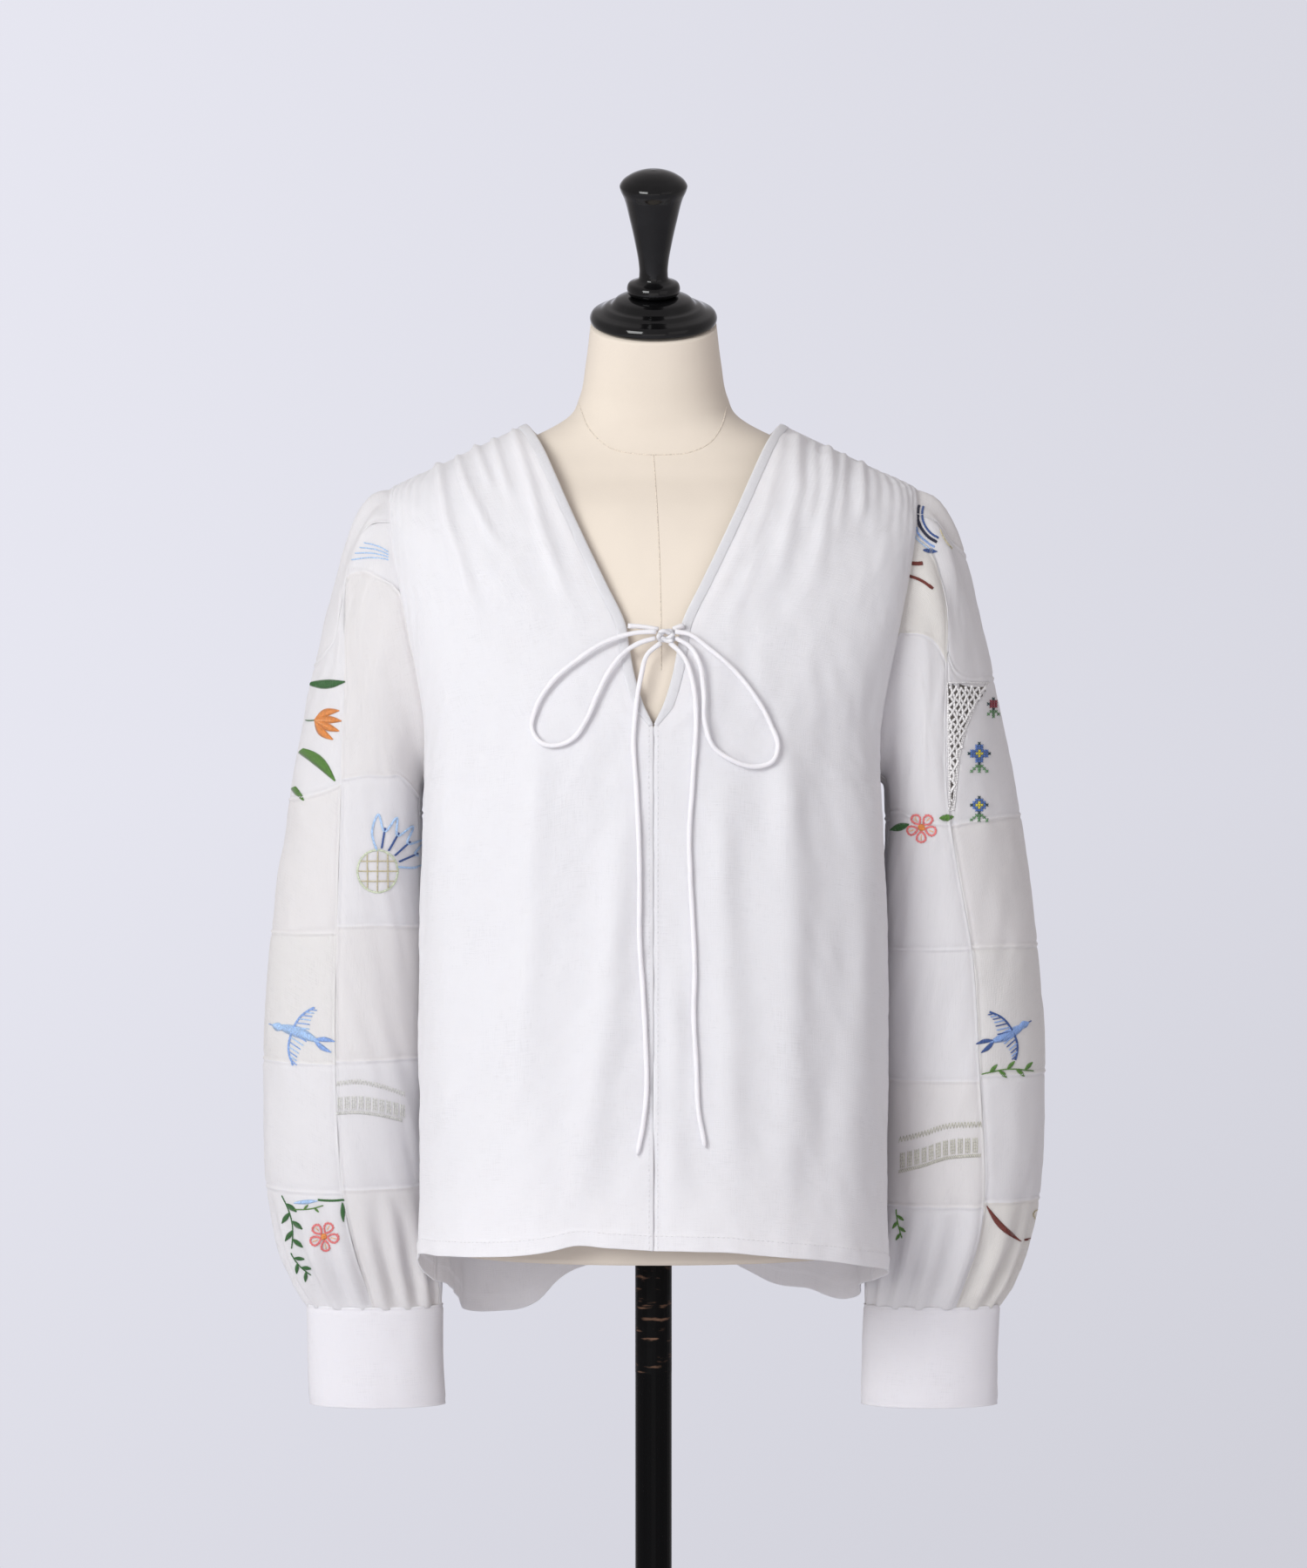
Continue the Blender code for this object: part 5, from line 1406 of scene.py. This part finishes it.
class Needlework:
    """Threads laid on the cloth, gathered into one object with a material for each colour."""

    def __init__(self, name):
        self.name = name
        self.points, self.faces, self.colours = [], [], []
        self.used = []
        self.count = 0

    def thread(self, colour, points, normals, radius, sides=5):
        """One length of thread: a fine tube along points on the cloth."""
        points, normals = np.array(points), unit(np.array(normals))
        along = unit(np.gradient(points, axis=0))
        across = unit(np.cross(along, normals))
        turns = np.linspace(0.0, 2 * math.pi, sides, endpoint=False)
        width = np.full(len(points), radius)
        width[0] = width[-1] = radius * 0.55
        circle = np.cos(turns)[None, :, None] * across[:, None, :] + np.sin(turns)[None, :, None] * normals[:, None, :]
        self.points.append((points[:, None, :] + circle * width[:, None, None]).reshape(-1, 3))
        if colour not in self.used:
            self.used.append(colour)
        for low in range(len(points) - 1):
            for i in range(sides):
                j = (i + 1) % sides
                first, second = self.count + low * sides, self.count + (low + 1) * sides
                self.faces.append((first + i, first + j, second + j, second + i))
                self.colours.append(self.used.index(colour))
        last = self.count + (len(points) - 1) * sides
        self.faces += [tuple(self.count + i for i in range(sides))[::-1], tuple(last + i for i in range(sides))]
        self.colours += [self.used.index(colour)] * 2
        self.count += len(points) * sides

    def stitch(self, canvas, colour, start, end, radius, rise, steps=4):
        """One stitch between two places, rising a little in the middle."""
        hits = [canvas.hit(np.array(start) + (np.array(end) - start) * part) for part in np.linspace(0.0, 1.0, steps)]
        if any(hit is None for hit in hits):
            return
        normals = np.array([hit[1] for hit in hits])
        lift = radius * 0.35 + rise * np.sin(np.linspace(0.0, math.pi, steps))
        points = np.array([hit[0] for hit in hits])
        if np.abs(np.diff(points, axis=0)).max() > LONGEST_STEP:
            return
        self.thread(colour, points + normals * lift[:, None], normals, radius)

    def stem(self, canvas, colour, width, route):
        """A line of slanting stitches, each starting beside the one before."""
        path = route_points(route, 1.0)
        along = unit(np.gradient(path, axis=0))
        across = np.stack([-along[:, 1], along[:, 0]], axis=-1)
        strands = max(1, round(width / 1.1))
        for strand in range(strands):
            offset = (strand - (strands - 1) / 2) * 1.0
            for start in range(-2, len(path) - 1, 3):
                low, high = max(start, 0), min(start + 5, len(path) - 1)
                if high - low < 1:
                    continue
                first = path[low] + across[low] * (offset - 0.35)
                last = path[high] + across[high] * (offset + 0.35)
                self.stitch(canvas, colour, first, last, 0.42, 0.25)

    def satin(self, canvas, colour, first_edge, second_edge):
        """Close parallel stitches from one edge to the other."""
        first, second = np.array(first_edge, float), np.array(second_edge, float)
        longest = max(np.linalg.norm(np.diff(e, axis=0), axis=1).sum() for e in (first, second))
        count = max(3, round(longest / 0.95))
        knots = np.linspace(0.0, 1.0, len(first))
        for number, part in enumerate(np.linspace(0.0, 1.0, count)):
            slanted = min(part + 1.6 / count, 1.0)
            start = [np.interp(part, knots, first[:, axis]) for axis in (0, 1)]
            end = [np.interp(slanted, knots, second[:, axis]) for axis in (0, 1)]
            if np.linalg.norm(np.subtract(end, start)) < 0.8:
                continue
            self.stitch(canvas, colour, start, end, 0.36, 0.38 + 0.08 * (number % 2))

    def draw(self, canvas, strokes):
        for colour, kind, width, *lines in strokes:
            if kind == "stem":
                self.stem(canvas, colour, width, lines[0])
            else:
                self.satin(canvas, colour, *lines)

    def chart(self, canvas, corner, rows):
        """Cross-stitch from a chart: two crossing threads in each cell."""
        for down, row in enumerate(rows):
            for over, letter in enumerate(row):
                if letter in CROSS_COLOURS:
                    low = np.add(corner, (over * CROSS_CELL, down * CROSS_CELL))
                    high = low + CROSS_CELL
                    colour = CROSS_COLOURS[letter]
                    self.stitch(canvas, colour, low, high, 0.58, 0.15, 3)
                    self.stitch(canvas, colour, (high[0], low[1]), (low[0], high[1]), 0.58, 0.45, 3)

    def band(self, canvas, route, tall, pitch, kind, colour):
        """Drawn-thread work: a zigzag row, or ladders of bars over a zigzag foot."""
        path = route_points(route, 1.0)
        lengths = lengths_along(path)

        def at(length, drop):
            return np.array([np.interp(length, lengths, path[:, 0]), np.interp(length, lengths, path[:, 1]) + drop])

        if kind == "zigzag":
            for place in np.arange(0.0, lengths[-1] - pitch, pitch):
                self.stitch(canvas, colour, at(place, tall), at(place + pitch * 0.6, 0.0), 0.30, 0.15, 3)
                self.stitch(canvas, colour, at(place + pitch * 0.6, 0.0), at(place + pitch, tall), 0.30, 0.15, 3)
            return
        for place in np.arange(2.0, lengths[-1] - 3.0, pitch):
            for over in LADDER_BARS:
                self.stitch(canvas, colour, at(place + over, 0.0), at(place + over, tall - 5.0), 0.32, 0.15, 6)
            for drop in np.arange(2.0, tall - 5.0, 3.6):
                self.stitch(canvas, colour, at(place - 0.6, drop), at(place + 5.2, drop), 0.26, 0.35, 3)
        for place in np.arange(0.0, lengths[-1] - 2.4, 2.4):
            self.stitch(canvas, colour, at(place, tall), at(place + 2.0, tall - 4.0), 0.32, 0.2, 3)
            self.stitch(canvas, colour, at(place, tall - 4.0), at(place + 2.0, tall), 0.32, 0.2, 3)

    def running(self, points, normals):
        """Machine stitches along a line on the cloth."""
        lengths = lengths_along(points)
        lift = CLOTH_WALL / 2 + np.array([-0.08, 0.1, -0.08])
        for start in np.arange(1.0, lengths[-1] - MACHINE_STITCH, MACHINE_STITCH + MACHINE_GAP):
            at = start + MACHINE_STITCH * np.array([0.0, 0.5, 1.0])
            place, normal = (
                np.stack([np.interp(at, lengths, values[:, axis]) for axis in range(3)], axis=-1)
                for values in (points, normals)
            )
            self.thread("sewing", place + unit(normal) * lift[:, None], normal, MACHINE_RADIUS, sides=4)

    def finish(self):
        mesh = bpy.data.meshes.new(self.name)
        mesh.from_pydata((np.vstack(self.points) * MM).tolist(), [], self.faces)
        for colour in self.used:
            mesh.materials.append(floss_of(colour))
        mesh.polygons.foreach_set("material_index", np.array(self.colours, np.int32))
        mesh.update()
        mesh.shade_smooth()
        made = link_object(self.name, mesh)
        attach(made, "root")
        return made


def floss_of(colour):
    return bpy.data.materials.get("floss_" + colour) or floss("floss_" + colour, THREADS[colour])


def inside_outline(places, outline):
    """Which places lie inside a closed line of points."""
    outline = np.array(outline, float)
    inside = np.zeros(places.shape[:-1], bool)
    for start, end in zip(outline, np.roll(outline, -1, axis=0)):
        crosses = (start[1] > places[..., 1]) != (end[1] > places[..., 1])
        slope = (end[0] - start[0]) / (end[1] - start[1] + 1e-12)
        inside ^= crosses & (places[..., 0] < start[0] + slope * (places[..., 1] - start[1]))
    return inside


def cloth_tree(objects):
    """The sleeves' cloth as one shape for laying threads on."""
    points, faces, count = [], [], 0
    for made in objects:
        points += [v.co.copy() for v in made.data.vertices]
        faces += [tuple(i + count for i in p.vertices) for p in made.data.polygons]
        count = len(points)
    return BVHTree.FromPolygons(points, faces)


def add_lace(work, canvas):
    """Crochet net in the cut-out corner of a patch: threads between knots, with a thicker edge."""
    nodes = {}
    for down in range(30):
        for over in range(-2, 12):
            place = np.add(LACE_START, np.multiply((over + (down % 2) / 2, down), LACE_PITCH))
            if inside_outline(place[None], np.array(LACE_CORNER) + (0.0, 0.5))[0]:
                nodes[over, down] = place + (1.2 * math.sin(5.1 * over + 2.3 * down), math.sin(3.7 * down + 1.9 * over))
    for (over, down), place in nodes.items():
        for step in ((down % 2, 1), (down % 2 - 1, 1)):
            other = nodes.get((over + step[0], down + step[1]))
            if other is not None:
                work.stitch(canvas, "lace", place, other, LACE_THREAD, 0.1, 4)
        for turn in (0.0, 1.57):  # the knot, as two short crossing stitches
            reach = 1.5 * np.array([math.cos(turn + down), math.sin(turn + down)])
            work.stitch(canvas, "lace", place - reach, place + reach, 1.05, 0.3, 3)
    edge = np.vstack([LACE_CORNER, LACE_CORNER[:1]])
    for start, end in zip(edge, edge[1:]):
        parts = max(2, round(np.linalg.norm(end - start) / 3.0))
        for part in range(parts):
            low, high = start + (end - start) * part / parts, start + (end - start) * (part + 1.3) / parts
            for shift in (-1.0, 0.6):
                work.stitch(canvas, "lace", low + (shift, 0.0), high + (shift, 0.0), 0.55, 0.3, 3)


def open_lace(made):
    """Takes the cloth away behind the crochet corner of the right sleeve."""

    def cut(work):
        centres = np.array([f.calc_center_median() for f in work.faces]) / MM
        opening = [(column, max(row, LACE_TOP)) for column, row in LACE_CORNER]
        inside = inside_outline(to_picture(centres), opening) & (centres[:, 1] < SLEEVE.read("centre_y", 6))
        bmesh.ops.delete(work, geom=[f for f, gone in zip(work.faces, inside) if gone], context="FACES")

    edit_mesh(made.data, cut)


def add_needlework(sleeves, form):
    """All the embroidery, the lace, the drawn-thread bands and the sewing."""
    for side, name, pictures in (
        (-1, "left", [LEAF_AND_TULIP, HEAD_FEATHERS, THISTLE, SWALLOW, ROSE_CORNER]),
        (1, "right", [BLUE_FAN, BROWN_STROKES, PINK_FLOWER, RIGHT_SWALLOW, BROWN_CURVE]),
    ):
        tree = cloth_tree([made for (sleeve, _), made in sleeves.items() if sleeve == name])
        front = Canvas(tree)
        work = Needlework(f"embroidery_{name}")
        for strokes in pictures:
            work.draw(front, strokes)
        if name == "right":
            for corner, rows in CROSS_FLOWERS:
                work.chart(front, corner, rows)
        for route, tall, pitch, kind in THREAD_BANDS:
            if (route[0][0] < PICTURE_CENTRE[0]) == (side < 0):
                work.band(front, route, tall, pitch, kind, "pale_grey" if side < 0 else "grey_green")
        for strokes, origin, centre, facing in HIDDEN_PICTURES[name]:
            place = (side * centre[0], centre[1], centre[2])
            work.draw(Canvas(tree, origin, place, (side * facing[0], facing[1], 0.0)), strokes)
        work.finish()
        if name == "right":
            lace = Needlework("lace_corner")
            add_lace(lace, front)
            lace.finish()
    open_lace(sleeves["right", "front_outer"])
    sewing = Needlework("machine_stitches")
    for points, normals in SEWN_LINES:
        sewing.running(points, normals)
    sewing.finish()
    seams = Needlework("form_seams")
    cover_tree = Canvas(cloth_tree([form]))
    for route in FORM_SEAMS:
        hits = [cover_tree.hit(place) for place in route_points(route, 4.0)]
        points, normals = (np.array(part) for part in zip(*[hit for hit in hits if hit is not None]))
        seams.thread("form_seam", points - normals * 0.42, normals, 0.42, sides=6)
    seams.finish()


# The dress form and its stand


FORM_FOOT, FORM_SHOULDER, FORM_NECK = 780.0, 1280.0, 1414.3
TURNED_SIDES = 96


def add_form():
    lower = np.linspace(FORM_FOOT, FORM_SHOULDER, 150, endpoint=False)
    heights = np.concatenate([lower, np.linspace(FORM_SHOULDER, FORM_NECK, 80)])
    turn, height = np.meshgrid(np.linspace(0.0, 2 * math.pi, 145), heights)
    across, ahead = np.cos(turn), np.sin(turn)
    power = 2.0 / FORM_SQUARENESS
    x = FORM.read("half_width", height) * np.sign(across) * np.abs(across) ** power
    depth = FORM.read("half_depth", height) * np.sign(ahead) * np.abs(ahead) ** power
    tilt = np.radians(FORM.read("tilt", height))
    y = FORM.read("centre_y", height) + depth * np.cos(tilt)
    points = np.stack([x, y, height + depth * np.sin(tilt)], axis=-1)
    u, v = run_lengths(points)
    made = add_grid("form_torso_cover", points, [MATERIALS["form"]], u, v, 1, thickness=0.0, closed=True)
    cap_ends(made)
    take_place("form_torso")
    return made


def turned_grid(profile):
    """A turned body's grid from (radius, height) pairs, rounded between them."""
    profile = np.array(profile, float)
    lengths = lengths_along(profile)
    table = Table(("length", "radius", "height"), np.column_stack([lengths, profile]))
    at = np.linspace(0.0, lengths[-1], max(8, round(lengths[-1] / 1.1)))
    at = np.unique(np.concatenate([at, lengths]))[:, None]
    radius, height = table.read("radius", at).clip(0.4), table.read("height", at)
    turns = np.linspace(0.0, 2 * math.pi, TURNED_SIDES + 1)
    return np.stack([radius * np.cos(turns), radius * np.sin(turns), height + 0.0 * turns], axis=-1)


def on_neck(points):
    """Stands a turned body on the neck's cut plane, which leans forward."""
    lean = np.array([
        (1.0, 0.0, 0.0),
        (0.0, math.cos(NECK_TILT), -math.sin(NECK_TILT)),
        (0.0, math.sin(NECK_TILT), math.cos(NECK_TILT)),
    ])
    return points @ lean.T + NECK_TOP


def add_turned(name, profile):
    """A lacquered turned body on the neck, which replaces the solid of the same name."""
    points = on_neck(turned_grid(profile))
    u, v = run_lengths(points)
    made = add_grid(name + "_turned", points, [MATERIALS["lacquer"]], u, v, 1, thickness=0.0, closed=True)
    cap_ends(made)
    made.data.set_sharp_from_angle(angle=math.radians(50))
    take_place(name)


def add_stand():
    """The neck cap and finial, and the paint of the pole and base, which show as their solids."""
    add_turned("neck_cap", CAP_PROFILE)
    add_turned("finial", [*FINIAL_PROFILE, (0.4, FINIAL_TOP)])
    for node in ("pole", "base_plate"):
        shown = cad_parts[node]
        shown.data.materials.clear()
        shown.data.materials.append(MATERIALS[node])


# The studio

FLOOR_RADIUS = 2400.0
LAMP_AIM = Vector((0.0, 0.0, 1.05))
ROOM_TONE, WALL_TONE = 0.49, 0.745
WALL_FALL_RIGHT, WALL_FALL_BELOW = 0.34, 0.40

# Lamps: name, place, size in metres, power in watts and colour
LAMPS = [
    ("key", (-1.7, -2.8, 2.0), 1.5, 74.0, (0.985, 1.0, 1.0)),
    ("fill", (2.6, -2.8, 1.4), 2.4, 5.0, (1.0, 0.95, 0.95)),
    ("bounce", (0.0, -2.4, 0.25), 2.0, 7.0, (1.0, 0.97, 0.96)),
]


def add_floor():
    """A pale disc of studio floor under the stand."""
    turns, reach = np.meshgrid(np.linspace(0.0, 2 * math.pi, 97), np.linspace(0.01, FLOOR_RADIUS, 24))
    points = np.stack([reach * np.cos(turns), reach * np.sin(turns), np.zeros_like(reach)], axis=-1)
    u, v = run_lengths(points)
    paper = Paint("floor_paper", 0.9)
    tone = paper.noise(paper.object_map(), 3.0, 2.0)
    paper.colour(paper.ramp(tone, [(0.3, (0.70, 0.70, 0.75)), (0.7, (0.72, 0.72, 0.77))]))
    floor = add_grid("floor", points, [paper.made], u, v, -1, thickness=0.0, closed=True)
    floor.parent = None


def add_lamps():
    for name, place, size, power, colour in LAMPS:
        made = link_object(name, bpy.data.lights.new(name, "AREA"))
        made.data.size, made.data.energy, made.data.color = size, power, colour
        made.location = place
        made.rotation_euler = (LAMP_AIM - Vector(place)).to_track_quat("-Z", "Y").to_euler()


def add_world():
    """Studio walls: pale blue behind the stand, falling off to the right and below, and dimmer all round."""
    world = bpy.data.worlds.new("studio")
    world.use_nodes = True
    nodes, links = world.node_tree.nodes, world.node_tree.links

    def node(kind, inputs=(), **settings):
        return add_node(world.node_tree, kind, inputs, **settings).outputs

    way = node("SeparateXYZ", {0: node("TexCoord")["Generated"]})
    behind = node("MapRange", {"Value": way[1], "From Min": 0.75, "From Max": 0.96}, interpolation_type="SMOOTHSTEP")[0]
    below = node("Math", {0: way[2], 1: 0.0}, operation="MINIMUM")[0]
    across = node("Math", {0: way[0], 1: -WALL_FALL_RIGHT, 2: WALL_TONE}, operation="MULTIPLY_ADD")[0]
    wall = node("Math", {0: below, 1: WALL_FALL_BELOW, 2: across}, operation="MULTIPLY_ADD")[0]
    tone = node("Mix", {0: behind, 2: ROOM_TONE, 3: wall})[0]
    tint = node("Mix", {0: behind, 6: (0.99, 0.945, 0.965, 1.0), 7: (1.0, 1.0, 1.1, 1.0)}, data_type="RGBA")[2]
    links.new(tint, nodes["Background"].inputs[0])
    links.new(tone, nodes["Background"].inputs[1])
    bpy.context.scene.world = world


bpy.context.scene.view_settings.view_transform = "Standard"
add_camera()
front_cloud = add_fronts()
add_ties(front_cloud)
add_back()
sleeves = add_sleeves()
add_cuffs()
add_bindings()
add_needlework(sleeves, add_form())
add_stand()
add_floor()
add_lamps()
add_world()
